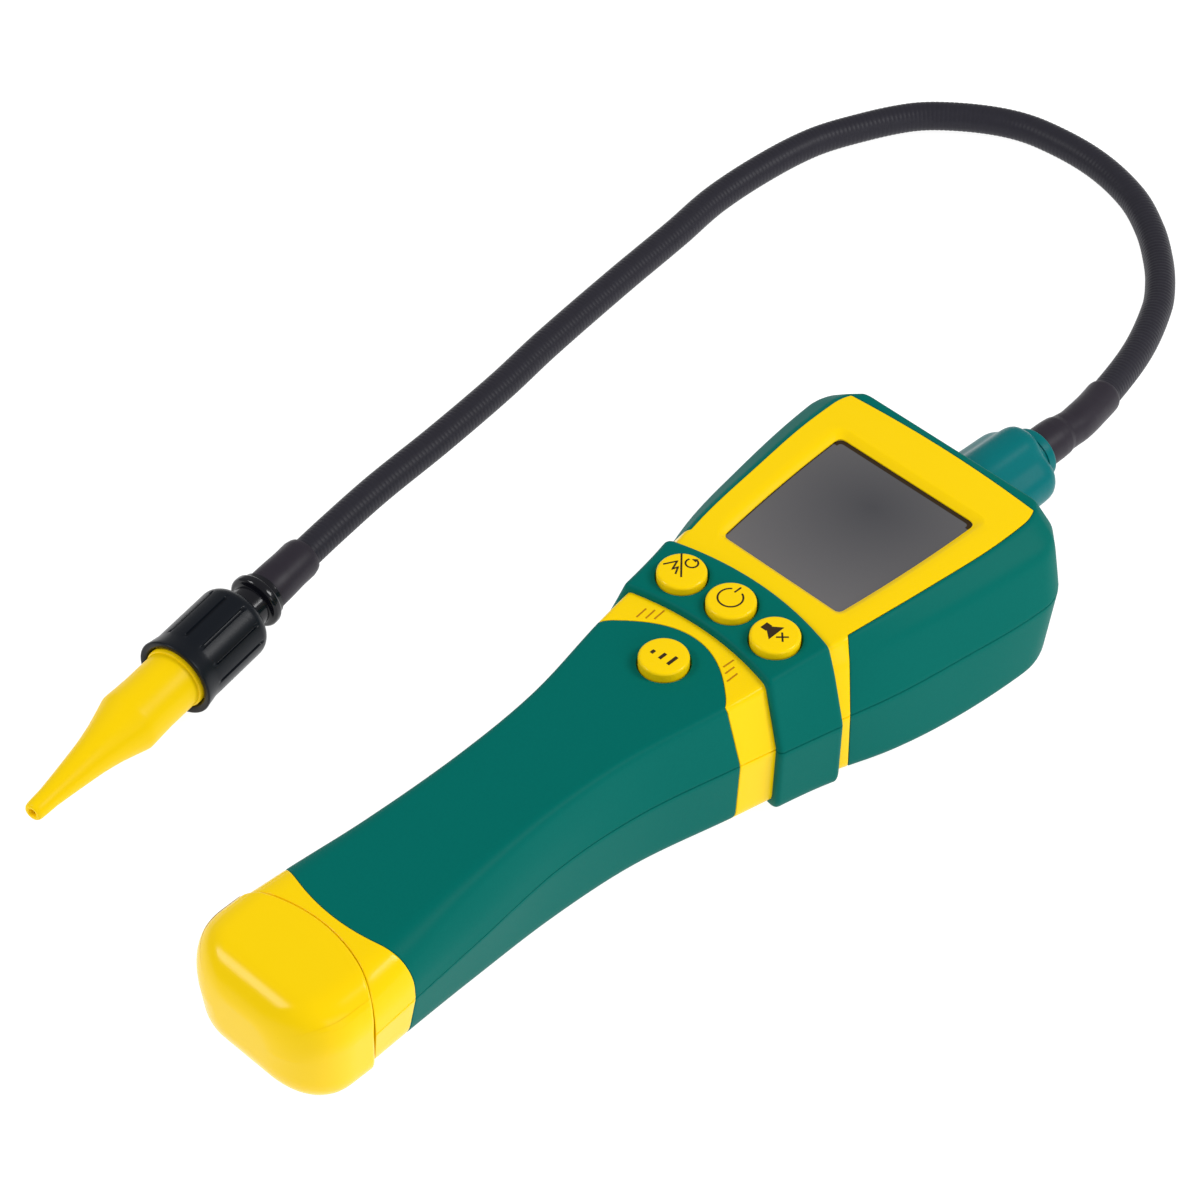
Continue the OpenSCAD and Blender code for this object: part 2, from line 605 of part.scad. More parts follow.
module sensor_can() {
    color("silver") at_tool() translate([0, 0, 39]) cylinder(r = 5.2, h = 12);
}
module sensor_collar() {
    color("black") difference() {
        turned([[5.6, 24], [6.5, 24], [8.15, 25.3], [9.05, 26.9], [9.65, 28.6], [9.8, 31], [9.85, 40],
            [10.05, 43], [10.35, 47], [10.55, 49], [10.5, 50.5], [9.6, 50.5], [8.4, 49.2], [8.3, 49],
            [8.3, 31], [5.6, 29.5]]);
        at_tool() for (a = [0:30:330]) rotate([0, 0, a]) translate([10.35, 0, 29.5]) cylinder(r = 1, h = 14.5);
    }
}
module sensor_nozzle() {
    color("gold") turned([[5.5, 33], [8.2, 33], [8.2, 67], [7.65, 69.8], [7.2, 71.4], [6.8, 73], [6.2, 74.6],
        [5.75, 76.2], [5.45, 77.8], [5.1, 79.4], [4.65, 81], [4.35, 84], [3.85, 87.3], [3.55, 90.4],
        [2.95, 93.6], [2.7, 96.7], [2.6, 99.8], [2.25, 102.3], [1.9, 102.6], [1.1, 102.6], [1.1, 94],
        [1.4, 93], [2.6, 84], [3.6, 79], [5.2, 69], [5.2, 68.2], [6.05, 68.2], [6.05, 66], [6.9, 66],
        [6.9, 41], [5.5, 40]]);
}
module filter_disc() {
    color("white") at_tool() translate([0, 0, 66.1]) cylinder(r = 6, h = 2);
}

front_shell();
rear_shell();
front_head_skin();
rear_head_skin();
front_bridge();
rear_bridge();
front_grip();
rear_grip();
battery_cap();
cap_contacts();
battery_tray();
battery_cells();
tray_contacts();
display_window();
window_gasket();
display_module();
main_board();
keypad();
button_peak();
button_power();
button_mute();
button_level();
buzzer();
pump_body();
pump_motor();
pump_rotor();
air_tube();
case_screws();
probe_boss();
boss_nut();
base_sleeve();
gooseneck();
tip_sleeve();
sensor_socket();
socket_seal();
sensor_can();
filter_disc();
sensor_collar();
sensor_nozzle();
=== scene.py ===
"""Looks for the portable gas leak detector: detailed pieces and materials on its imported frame."""

import json
import math

import bmesh
import bpy
import numpy as np
from mathutils import Matrix, Vector


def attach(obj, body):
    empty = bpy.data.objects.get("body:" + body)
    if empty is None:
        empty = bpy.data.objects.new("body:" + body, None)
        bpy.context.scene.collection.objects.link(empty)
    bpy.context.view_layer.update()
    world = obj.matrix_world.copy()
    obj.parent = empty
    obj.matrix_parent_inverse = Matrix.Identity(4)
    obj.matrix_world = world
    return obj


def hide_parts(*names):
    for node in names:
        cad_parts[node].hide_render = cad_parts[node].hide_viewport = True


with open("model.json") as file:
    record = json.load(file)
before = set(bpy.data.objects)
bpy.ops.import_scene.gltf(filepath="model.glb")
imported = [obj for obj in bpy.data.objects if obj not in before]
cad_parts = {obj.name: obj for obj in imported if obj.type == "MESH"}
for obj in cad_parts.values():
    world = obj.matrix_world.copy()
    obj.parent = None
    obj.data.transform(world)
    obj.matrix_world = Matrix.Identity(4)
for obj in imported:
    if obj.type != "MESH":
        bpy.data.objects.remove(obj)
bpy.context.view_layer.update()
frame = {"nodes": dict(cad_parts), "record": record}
MM = 0.001


# ---------------------------------------------------------------- camera
LENS = 119.4
CAMERA_AT = (434.6, -461.2, 693.6)
CAMERA_RIGHT = (0.71282, 0.70134, -0.00302)
CAMERA_DOWN = (0.49573, -0.50689, -0.70521)
CAMERA_AHEAD = (-0.49612, 0.50119, -0.70899)


def make_camera():
    data = bpy.data.cameras.new("camera")
    data.lens = LENS
    data.sensor_width = 36
    data.clip_start = 0.05
    camera = bpy.data.objects.new("camera", data)
    turn = Matrix((Vector(CAMERA_RIGHT), -Vector(CAMERA_DOWN), -Vector(CAMERA_AHEAD))).transposed()
    camera.matrix_world = Matrix.Translation(Vector(CAMERA_AT) * MM) @ turn.to_4x4()
    bpy.context.scene.collection.objects.link(camera)
    bpy.context.scene.camera = camera


make_camera()


# ---------------------------------------------------------------- materials
def principled(name, color, roughness, specular=0.5, metallic=0.0):
    material = bpy.data.materials.new(name)
    material.use_nodes = True
    shader = material.node_tree.nodes["Principled BSDF"]
    shader.inputs["Base Color"].default_value = (*color, 1)
    shader.inputs["Roughness"].default_value = roughness
    shader.inputs["Specular IOR Level"].default_value = specular
    shader.inputs["Metallic"].default_value = metallic
    return material


def paint_reflection_patch(material, centre, reach, color):
    """Paints a soft round patch of another colour into the base colour, about a centre, with its reach in
    metres: a painted reflection.
    """
    tree = material.node_tree
    shader = tree.nodes["Principled BSDF"]
    place = tree.nodes.new("ShaderNodeTexCoord")
    fit = tree.nodes.new("ShaderNodeMapping")
    fit.inputs["Scale"].default_value = tuple(1 / r for r in reach)
    fit.inputs["Location"].default_value = tuple(-c / r for c, r in zip(centre, reach))
    ball = tree.nodes.new("ShaderNodeTexGradient")
    ball.gradient_type = "SPHERICAL"
    mix = tree.nodes.new("ShaderNodeMix")
    mix.data_type = "RGBA"
    mix.inputs["A"].default_value = shader.inputs["Base Color"].default_value[:]
    mix.inputs["B"].default_value = (*color, 1)
    tree.links.new(place.outputs["Object"], fit.inputs["Vector"])
    tree.links.new(fit.outputs["Vector"], ball.inputs["Vector"])
    tree.links.new(ball.outputs["Fac"], mix.inputs["Factor"])
    tree.links.new(mix.outputs["Result"], shader.inputs["Base Color"])
    return material


def add_grain(material, size, depth, tint=0.0):
    """Fine moulded grain: bumps of a size in metres and, with tint, a slight change of colour."""
    tree = material.node_tree
    shader = tree.nodes["Principled BSDF"]
    place = tree.nodes.new("ShaderNodeTexCoord")
    noise = tree.nodes.new("ShaderNodeTexNoise")
    noise.inputs["Scale"].default_value = 1 / size
    noise.inputs["Detail"].default_value = 3
    bump = tree.nodes.new("ShaderNodeBump")
    bump.inputs["Strength"].default_value = 0.6
    bump.inputs["Distance"].default_value = depth
    tree.links.new(place.outputs["Object"], noise.inputs["Vector"])
    tree.links.new(noise.outputs["Fac"], bump.inputs["Height"])
    tree.links.new(bump.outputs["Normal"], shader.inputs["Normal"])
    if tint:
        base = shader.inputs["Base Color"].default_value[:]
        mix = tree.nodes.new("ShaderNodeMix")
        mix.data_type = "RGBA"
        mix.inputs["A"].default_value = base
        mix.inputs["B"].default_value = tuple(c * (1 + tint) for c in base[:3]) + (1,)
        tree.links.new(noise.outputs["Fac"], mix.inputs["Factor"])
        tree.links.new(mix.outputs["Result"], shader.inputs["Base Color"])
    return material


YELLOW = add_grain(principled("yellow_gloss", (0.98, 0.66, 0.0), 0.2, 0.14), 0.004, 0.00002)
SATIN_YELLOW = add_grain(principled("yellow_satin", (0.98, 0.66, 0.0), 0.36, 0.1), 0.002, 0.00002)
TEAL = add_grain(principled("teal_soft", (0.0, 0.13, 0.108), 0.45, 0.04), 0.0006, 0.00002, 0.12)
TEAL_GLOSS = add_grain(principled("teal_satin", (0.0, 0.145, 0.155), 0.32, 0.1), 0.0008, 0.00002, 0.1)
HOSE = add_grain(principled("hose_rubber", (0.02, 0.019, 0.026), 0.42, 0.14), 0.002, 0.00003, 0.3)
SHRINK = add_grain(principled("shrink_sleeve", (0.022, 0.018, 0.026), 0.42, 0.18), 0.003, 0.00006, 0.2)
BLACK = add_grain(principled("black_satin", (0.006, 0.008, 0.012), 0.3, 0.14), 0.0007, 0.00002)
BLACK_GLOSS = add_grain(principled("black_gloss", (0.006, 0.006, 0.009), 0.14, 0.3), 0.003, 0.00001)
GLASS = add_grain(principled("window_glass", (0.135, 0.13, 0.135), 0.18, 0.5), 0.02, 0.00001)
# The glass darkens in a soft round patch about the window's middle: a painted reflection, not a colour of
# the glass.
GLASS = paint_reflection_patch(GLASS, (0.0, 0.07, 0.0376), (0.042, 0.036, 0.05), (0.055, 0.055, 0.062))
SHADE = add_grain(principled("window_shade", (0.036, 0.022, 0.01), 0.5, 0.1), 0.002, 0.00001)
INK = add_grain(principled("ink", (0.035, 0.02, 0.006), 0.5, 0.2), 0.001, 0.00001)
MARK = add_grain(principled("mark", (0.5, 0.21, 0.004), 0.5, 0.1), 0.001, 0.00001)
PANEL = add_grain(principled("display_panel", (0.3, 0.32, 0.3), 0.4), 0.002, 0.00001)
BOARD = add_grain(principled("circuit_board", (0.02, 0.16, 0.06), 0.4), 0.003, 0.00003, 0.6)
WHITE = add_grain(principled("white_rubber", (0.75, 0.75, 0.72), 0.5), 0.001, 0.00002)
CELL = add_grain(principled("cell_jacket", (0.06, 0.06, 0.08), 0.25), 0.004, 0.00001, 0.4)
METAL = add_grain(principled("bright_metal", (0.72, 0.72, 0.74), 0.3, metallic=1.0), 0.002, 0.00002)

NODE_LOOKS = {
    "yellow_plastic": YELLOW, "teal_rubber": TEAL, "black_rubber": SHRINK, "black_plastic": BLACK,
    "display_glass": GLASS, "display_panel": PANEL, "circuit_board": BOARD, "white_rubber": WHITE,
    "cell_jacket": CELL, "bright_metal": METAL,
}


def dress_nodes():
    """Gives each CAD node the material of its slot."""
    for part in frame["record"]["subparts"]:
        mesh = frame["nodes"][part["node"]].data
        mesh.materials.clear()
        mesh.materials.append(NODE_LOOKS[part["material_slot"]])


dress_nodes()


# ---------------------------------------------------------------- mesh helpers
def finish_mesh(obj, sharp=40):
    """Smooth shading, with edges over the angle kept sharp, and faces that all point out."""
    work = bmesh.new()
    work.from_mesh(obj.data)
    bmesh.ops.remove_doubles(work, verts=work.verts, dist=1e-7)
    bmesh.ops.recalc_face_normals(work, faces=work.faces)
    work.to_mesh(obj.data)
    work.free()
    obj.data.shade_smooth()
    obj.data.set_sharp_from_angle(angle=math.radians(sharp))


def make_object(name, points, faces, material):
    """A mesh object from points in millimetres."""
    mesh = bpy.data.meshes.new(name)
    mesh.from_pydata([tuple(p) for p in np.asarray(points, float) * MM], [], faces)
    mesh.materials.append(material)
    obj = bpy.data.objects.new(name, mesh)
    bpy.context.scene.collection.objects.link(obj)
    return obj


def bake(obj):
    """Applies the modifiers of obj to its mesh."""
    bpy.context.view_layer.update()
    done = bpy.data.meshes.new_from_object(obj.evaluated_get(bpy.context.evaluated_depsgraph_get()))
    obj.modifiers.clear()
    old = obj.data
    obj.data = done
    bpy.data.meshes.remove(old)


def cut(obj, cutters):
    """Takes the cutters away from obj, and removes them."""
    for cutter in cutters:
        hole = obj.modifiers.new("cut", "BOOLEAN")
        hole.operation = "DIFFERENCE"
        hole.solver = "MANIFOLD"
        hole.object = cutter
    bake(obj)
    for cutter in cutters:
        bpy.data.objects.remove(cutter)


def loft(name, rings, material):
    """A solid through closed rings of the same number of points, with flat ends."""
    rings = np.asarray(rings, float)
    count, n = rings.shape[:2]
    faces = [
        (j * n + i, j * n + (i + 1) % n, (j + 1) * n + (i + 1) % n, (j + 1) * n + i)
        for j in range(count - 1)
        for i in range(n)
    ]
    faces += [tuple(range(n))[::-1], tuple(range((count - 1) * n, count * n))]
    return make_object(name, rings.reshape(-1, 3), faces, material)


def lathe(name, profile, place, material, segments=96, ribs=None):
    """A closed profile of (radius, distance) turned round the axis of place.
    ribs(radius, distance, angles) may change the radius round the turn."""
    angles = np.linspace(0, 2 * np.pi, segments, endpoint=False)
    points = []
    for radius, along in profile:
        radii = np.full(segments, float(radius)) if ribs is None else ribs(radius, along, angles)
        turn = zip(radii, angles)
        points.append([place @ Vector((r * math.cos(a), r * math.sin(a), along)) for r, a in turn])
    n = segments
    m = len(profile)
    faces = [
        (j * n + i, j * n + (i + 1) % n, (j + 1) % m * n + (i + 1) % n, (j + 1) % m * n + i)
        for j in range(m)
        for i in range(n)
    ]
    obj = make_object(name, np.array(points).reshape(-1, 3), faces, material)
    finish_mesh(obj)
    return obj


def turned(name, profile, place, material, segments=96):
    """A solid turned round the axis of place, with flat ends, from a profile of (radius, distance)."""
    angles = np.linspace(0, 2 * np.pi, segments, endpoint=False)
    rings = [
        [place @ Vector((r * math.cos(a), r * math.sin(a), along)) for a in angles]
        for r, along in profile
    ]
    obj = loft(name, rings, material)
    finish_mesh(obj)
    return obj


def arc(cx, cy, radius, start, end, steps=6):
    """Points of an arc, with its angles in degrees."""
    turns = np.radians(np.linspace(start, end, steps + 1))
    return [(cx + radius * math.cos(a), cy + radius * math.sin(a)) for a in turns]


def put(obj, body, nodes=()):
    """Fixes obj to its body, in place of its CAD nodes."""
    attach(obj, body)
    if nodes:
        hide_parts(*nodes)
    return obj


# ---------------------------------------------------------------- gooseneck and its sleeves
EXIT_Y = 133
EXIT_Z = 13.5
TOOL_TURN = math.radians(10)
TOOL_AT = (-106, -18, 10.6)
HOSE_R = 4
ROUTE = [
    (0, 133, 13.5), (0, 141, 13.3), (0, 149, 12.6), (-3, 164, 10.8), (-9, 185, 8.6), (-17, 203, 7),
    (-23, 212, 6.2), (-30, 220, 5.4), (-40, 229, 4.8), (-53, 237, 4.3), (-70, 241.5, 4.1),
    (-88, 241, 4.1), (-99, 237.5, 4.1), (-111, 229.5, 4.1), (-119, 221, 4.1), (-127, 205, 4.1),
    (-131, 193, 4.1), (-133, 176, 4.1), (-133, 157, 4.2), (-130.5, 139.5, 4.5), (-127, 113.5, 5.4),
    (-122, 81.5, 6.6), (-118, 61, 7.5), (-114, 35, 8.7), (-111, 11, 9.8), (-108, -7, 10.4),
    (-106, -18, 10.6),
]


def smooth_route(step):
    """The route as a smooth line with a point about every step millimetres, and its lengths."""
    route = np.array(ROUTE, float)
    last = len(route) - 1
    ways = np.gradient(route, axis=0)
    ways[0] = (0, 1, 0)
    ways[last] = (math.sin(TOOL_TURN), -math.cos(TOOL_TURN), 0)
    ways /= np.linalg.norm(ways, axis=1)[:, None]
    line = []
    for i in range(last):
        gap = np.linalg.norm(route[i + 1] - route[i])
        for t in np.arange(0, 1, 0.02):
            line.append(
                (2 * t**3 - 3 * t**2 + 1) * route[i] + (t**3 - 2 * t**2 + t) * gap * ways[i]
                + (3 * t**2 - 2 * t**3) * route[i + 1] + (t**3 - t**2) * gap * ways[i + 1]
            )
    line = np.array(line + [route[last]])
    along = np.concatenate([[0], np.cumsum(np.linalg.norm(np.diff(line, axis=0), axis=1))])
    lengths = np.linspace(0, along[-1], int(along[-1] / step) + 1)
    return np.array([np.interp(lengths, along, line[:, k]) for k in range(3)]).T, lengths


def tube(name, line, radii, sides, material):
    """A closed tube round a line; radii is a number for each point."""
    ways = np.gradient(line, axis=0)
    ways /= np.linalg.norm(ways, axis=1)[:, None]
    rings = []
    for point, way, radius in zip(line, ways, radii):
        side = np.cross(way, (0, 0, 1))
        side /= np.linalg.norm(side)
        up = np.cross(side, way)
        turns = np.linspace(0, 2 * np.pi, sides, endpoint=False)
        rings.append([point + radius * (side * math.cos(a) + up * math.sin(a)) for a in turns])
    obj = loft(name, rings, material)
    finish_mesh(obj, 60)
    return obj


RIB_PITCH = 1.3
RIB_DEPTH = 0.1


def make_hose():
    line, lengths = smooth_route(RIB_PITCH / 5)
    phase = np.mod(lengths / RIB_PITCH, 1)
    radii = HOSE_R - RIB_DEPTH * np.maximum(0, np.cos(2 * np.pi * phase)) ** 3
    hose = put(tube("gooseneck_hose", line, radii, 24, HOSE), "case", ["gooseneck"])
    return hose, line, lengths


def make_base_sleeve(line, lengths):
    """Shrink sleeve over the gooseneck's root, thick over the ferrule and ending in a small step."""
    stops = [0, 0.4, 6, 8.5, 10, 13, 18, 24, 30, 30.9, 31.2]
    widths = [5.2, 5.45, 5.4, 5.25, 4.85, 4.7, 4.75, 4.65, 4.7, 4.55, 4.1]
    keep = lengths <= stops[-1]
    radii = np.interp(lengths[keep], stops, widths)
    return put(tube("root_sleeve", line[keep], radii, 48, SHRINK), "case", ["base_sleeve"])


hose, hose_line, hose_lengths = make_hose()
root_sleeve = make_base_sleeve(hose_line, hose_lengths)


# ---------------------------------------------------------------- sensor head
TOOL = (
    Matrix.Translation(Vector(TOOL_AT))
    @ Matrix.Rotation(TOOL_TURN, 4, "Z")
    @ Matrix.Rotation(math.pi / 2, 4, "X")
)
FLUTES = 12
FLUTE_DEPTH = 0.55
FLUTE_REACH = 0.09


def fluted(radius, along, angles):
    """Narrow rounded flutes down the collar's outer side, which fade out at their two ends."""
    first, last, soft = 28.6, 45.4, 1.2
    fade = min(max(min(along - first, last - along) / soft, 0), 1)
    if radius < 9:
        fade = 0
    off = np.abs(np.mod(angles * FLUTES / (2 * np.pi) + 0.5, 1) - 0.5) / FLUTE_REACH
    return radius - FLUTE_DEPTH * fade * np.clip(2 - 2 * off**2, 0, 1)


def make_tip():
    tip = lathe(
        "tip_shrink",
        [(0.5, 0), (4.5, 0), (4.85, 0.15), (5.0, 0.5), (5.3, 2), (5.25, 6), (5.4, 10), (5.5, 15.4),
         (5.3, 15.9), (4.9, 16), (0.5, 16)],
        TOOL, SHRINK)
    return put(tip, "case", ["tip_sleeve"])


def make_socket():
    flange = arc(6.15, 18.6, 1.0, -90, 0) + arc(6.15, 19.4, 1.0, 0, 90)
    profile = [(0.5, 16), (5.9, 16), (6.1, 16.2), (6.1, 17.4)] + flange
    profile += [(5.6, 20.5), (5.4, 20.7), (5.4, 36.4), (4.5, 36.4), (4.5, 37.6), (5.4, 37.6), (5.4, 38.7),
                (5.1, 39), (0.5, 39)]
    socket = lathe("neck_socket", profile, TOOL, BLACK_GLOSS)
    return put(socket, "case", ["sensor_socket"])


def make_collar():
    side = [(9.8, along) for along in np.linspace(28.6, 46, 30)]
    profile = [(5.6, 25.4)] + arc(6.1, 25.6, 0.5, 180, 270) + arc(6.2, 28.7, 3.6, -85, -5, 10) + side
    profile += [(10.05, 47.4), (10.3, 49), (10.5, 50)] + arc(10.1, 50.1, 0.4, 0, 90)
    profile += [(9.3, 50.5), (8.75, 50.2), (8.4, 49.4), (8.3, 48.6), (8.3, 31), (5.6, 29.5)]
    collar = lathe("ribbed_collar", profile, TOOL, BLACK, 360, fluted)
    return put(collar, "collar", ["sensor_collar"])


def make_nozzle():
    socket = [(5.6, 33.1), (8.0, 33.1), (8.2, 33.4), (8.2, 50.6), (8.05, 50.85), (7.8, 50.95)]
    barrel = [(7.75, 51.5), (7.75, 60), (7.9, 64), (8.05, 67), (8.05, 68), (7.85, 68.8)]
    cone = [(7.4, 70.3), (6.85, 72.2), (6.35, 74), (5.85, 75.8), (5.45, 77.7), (5.1, 79.4), (4.75, 81.2),
            (4.35, 84), (3.9, 87.3), (3.5, 90.4), (3.1, 93.6), (2.75, 96.7), (2.6, 99.8)]
    tip = [(2.5, 101.4), (2.35, 102.1), (2.05, 102.5), (1.7, 102.6), (1.3, 102.5), (1.12, 102.2)]
    bore = [(1.1, 94), (2.6, 84), (3.6, 79), (5.2, 69), (5.2, 68.2), (6.05, 68.1), (6.05, 66), (6.9, 66),
            (6.9, 41), (5.6, 40)]
    nozzle = lathe("cone_nozzle", socket + barrel + cone + tip + bore, TOOL, SATIN_YELLOW)
    return put(nozzle, "nozzle", ["sensor_nozzle"])


tool_pieces = [make_tip(), make_socket(), make_collar(), make_nozzle()]


# ---------------------------------------------------------------- the case's outline
# Height of the parting line, Y of the head's flat end, and how far the bridge stands proud
PARTING = 21.5
HEAD_END = 98.7
RISE = 2.0
# Plan radii of the head's end corners at the parting line, and at a span above it and below it
CORNER_R, TOP_CORNER_R, BASE_CORNER_R = 13, 8.5, 18
CORNER_SPAN = 19.5
CASE_ROWS = np.array([
    # y, half widths of top, parting line and base, heights of top and base, ridge drop and step,
    # and how soft the edges of top, ridge and base are
    [-116, 18.4, 22.6, 19.2, 35.0, 5.2, 7.0, 1.9, 5.0, 3.0, 7.0],
    [-100, 17.4, 21.2, 18.5, 35.5, 4.8, 7.5, 1.6, 5.0, 3.0, 7.0],
    [-80, 15.2, 19.5, 16.8, 36.1, 3.1, 8.0, 1.1, 3.4, 3.0, 6.0],
    [-52, 14.1, 17.2, 15.8, 36.9, 1.5, 8.0, 0.5, 2.4, 3.0, 5.0],
    [-28, 15.4, 19.1, 17.6, 37.1, 1.2, 7.0, 0.0, 1.8, 2.0, 4.5],
    [-2, 20.2, 25.0, 23.8, 37.3, 1.4, 6.0, 0.0, 1.4, 1.5, 4.0],
    [20, 23.2, 30.4, 29.2, 37.8, 2.0, 5.0, 0.0, 1.2, 1.5, 3.5],
    [40, 26.6, 35.6, 35.8, 39.0, 1.3, 4.5, 1.8, 1.2, 1.5, 3.5],
    [59, 28.9, 38.8, 39.5, 39.0, 0.8, 4.5, 2.7, 1.2, 1.8, 3.5],
    [80, 30.9, 41.7, 41.6, 39.0, 1.1, 4.5, 3.25, 1.2, 2.2, 3.5],
    [104, 30.7, 42.4, 41.8, 39.0, 1.6, 4.5, 4.8, 1.2, 2.4, 3.5],
])
# Places of some of the values in a row
MID_W, TOP_Z, BASE_Z, DROP, STEP = 2, 4, 5, 6, 7
CAP_END = -133.05
CAP_ROWS = np.array([
    [-134, 18.4, 22.2, 20.0, 35.0, 3.4, 7.5, 2.8, 6.0, 5.0, 8.0],
    [-107, 18.8, 22.1, 20.0, 35.5, 3.9, 7.0, 2.2, 5.0, 4.0, 7.0],
])


def rows_at(rows, y):
    """Smooth curve through the rows, for an array y: adds a last axis with the row's values."""
    ys = rows[:, 0]
    slopes = np.gradient(rows, axis=0)
    slopes = slopes / slopes[:, :1]
    i = np.clip(np.searchsorted(ys, y, side="right") - 1, 0, len(ys) - 2)
    gap = (ys[i + 1] - ys[i])[..., None]
    t = (y - ys[i])[..., None] / gap
    return (
        (2 * t**3 - 3 * t**2 + 1) * rows[i] + (t**3 - 2 * t**2 + t) * gap * slopes[i]
        + (3 * t**2 - 2 * t**3) * rows[i + 1] + (t**3 - t**2) * gap * slopes[i + 1]
    )


def blend(a, b, t):
    """The point at t of the way from a to b."""
    return a + (b - a) * t


def toward(a, b, distance):
    """The point at a distance from a, on the way to b."""
    way = b - a
    return a + way * (distance / np.linalg.norm(way, axis=-1))[..., None]


def bezier(a, b, c, t):
    """The point at t on the curve from a to c that leans to b."""
    return (1 - t) ** 2 * a + 2 * t * (1 - t) * b + t**2 * c


# A column of a half section: the stretch it lies on, its place there, and its depth below the surface
FLANK_MM, FLANK, RIDGE, SLOPE, TOP, FLAT = range(6)
# How far the hard case lies below the soft skins
SUNK = 1.3
GROOVE = [(FLANK_MM, 0.0, 0.7), (FLANK_MM, 0.1, 0.35), (FLANK_MM, 0.22, 0.07), (FLANK_MM, 0.42, 0.0)]


def stretch(kind, places):
    return [(kind, t, 0.0) for t in places]


SIDE = GROOVE + stretch(FLANK, [0.1, 0.22, 0.36, 0.5, 0.64, 0.78, 0.9])
UPPER = SIDE + stretch(RIDGE, np.linspace(0, 1, 7)) + stretch(SLOPE, [0.33, 0.67])
UPPER += stretch(TOP, [0, 0.15, 0.3, 0.42, 0.54])
# The head's skin ends at column LIP + 1, and the bezel begins at column LIP + 2
LIP = len(UPPER)
UPPER += stretch(TOP, [0.64, 0.7, 0.74, 0.76, 0.82, 0.9, 1.0]) + stretch(FLAT, np.linspace(0.06, 1, 14))
# How the borders of the two are rounded: depth at a column
HEAD_SKIN_DEPTH = {LIP: 0.07, LIP + 1: 0.3}
HEAD_CASE_DEPTH = {LIP + 2: 0.35, LIP + 3: 0.12, LIP + 4: 0.02}
LOWER = SIDE + stretch(RIDGE, np.linspace(0, 1, 11)) + stretch(FLAT, np.linspace(0.08, 1, 10))


def section(s, depth, up, groove=1):
    """Right half of the sections whose values are s, inset by depth, with a line and a column axis."""
    _y, top_w, mid_w, base_w, top, base, drop, step, soft_top, soft_ridge, soft_base = np.moveaxis(s, -1, 0)
    columns = UPPER if up else LOWER
    kinds = np.array([c[0] for c in columns])
    t = np.array([c[1] for c in columns], float)[:, None]
    depth = depth + groove * np.array([c[2] for c in columns])
    middle = np.stack([mid_w - depth, np.full_like(depth, PARTING)], -1)
    soft = np.maximum(0.3, 1 - depth / 8)
    if up:
        ridge_w = blend(top_w, mid_w, drop / (top - PARTING)) + step
        ridge = np.stack([ridge_w - depth, top - drop], -1)
        edge = np.stack([top_w - 0.6 * depth, top - depth], -1)
        centre = np.stack([np.zeros_like(depth), top - depth], -1)
        q, r = toward(ridge, middle, soft_ridge * soft), toward(ridge, edge, soft_ridge * soft)
        u, v = toward(edge, ridge, soft_top * soft), toward(edge, centre, soft_top * soft)
        curve = bezier(q, ridge, r, t)
        slope, crown = blend(r, u, t), bezier(u, edge, v, t)
    else:
        low = np.stack([base_w - depth, base + depth], -1)
        centre = np.stack([np.zeros_like(depth), low[..., 1]], -1)
        q, v = toward(low, middle, soft_base * soft), toward(low, centre, soft_base * soft)
        curve = bezier(q, low, v, t)
        slope = crown = curve
    near = blend(middle, q, np.minimum(t / np.linalg.norm(q - middle, axis=-1)[..., None], 0.2 * t))
    choices = [near, blend(middle, q, t), curve, slope, crown, blend(v, centre, t)]
    return sum(np.where((kinds == kind)[:, None], points, 0) for kind, points in enumerate(choices))


def tuck_in(points, y, depth, s_mid):
    """Rounds the head's end corners in plan."""
    level = np.minimum(np.abs(points[..., 1] - PARTING) / CORNER_SPAN, 1)
    radius = blend(CORNER_R, np.where(points[..., 1] > PARTING, TOP_CORNER_R, BASE_CORNER_R), level)
    u = np.clip(y - (HEAD_END - depth) + radius, 0, radius)
    points[..., 0] *= 1 - (radius - np.sqrt(radius**2 - u**2)) / (s_mid - depth)
    return points


def lay_out(lines, up, depths=None, shape=None, groove=1):
    """Grid of points in space, from the right side over the middle to the left.
    Each line is (edge, depth): the edge gives y over x, and depths adds to depth for each column."""
    shape = shape or case_half
    count = len(UPPER if up else LOWER)
    depth = np.array([line[1] for line in lines], float)[:, None] + np.zeros(count)
    if depths is not None:
        depth = depth + depths
    x = np.zeros_like(depth)
    for _ in range(3):
        y = np.array([edge(x[k]) for k, (edge, _d) in enumerate(lines)])
        half = shape(y, depth, up, groove)
        x = half[..., 0]
    points = np.stack([half[..., 0], y, half[..., 1]], -1)
    other = points[:, -2::-1] * (-1, 1, 1)
    return np.concatenate([points, other], axis=1)


def rounding(distance, radius):
    """How far a rounded end of this radius has come in, at a distance from where it ends."""
    u = np.clip(radius - distance, 0, radius)
    return radius - np.sqrt(radius**2 - u**2)


# Radii of the head's end at its top and base, and of the cap's end at its sides, top and base
END_TOP_R, END_BASE_R = 1.7, 3.0
CAP_SIDE_R, CAP_TOP_R, CAP_BASE_R = 14, 9, 13


def case_half(y, depth, up, groove=1):
    s = rows_at(CASE_ROWS, y)
    s[..., TOP_Z] -= rounding(HEAD_END - y, END_TOP_R)
    s[..., BASE_Z] += rounding(HEAD_END - y, END_BASE_R)
    return tuck_in(section(s, depth, up, groove), y, depth, s[..., MID_W])


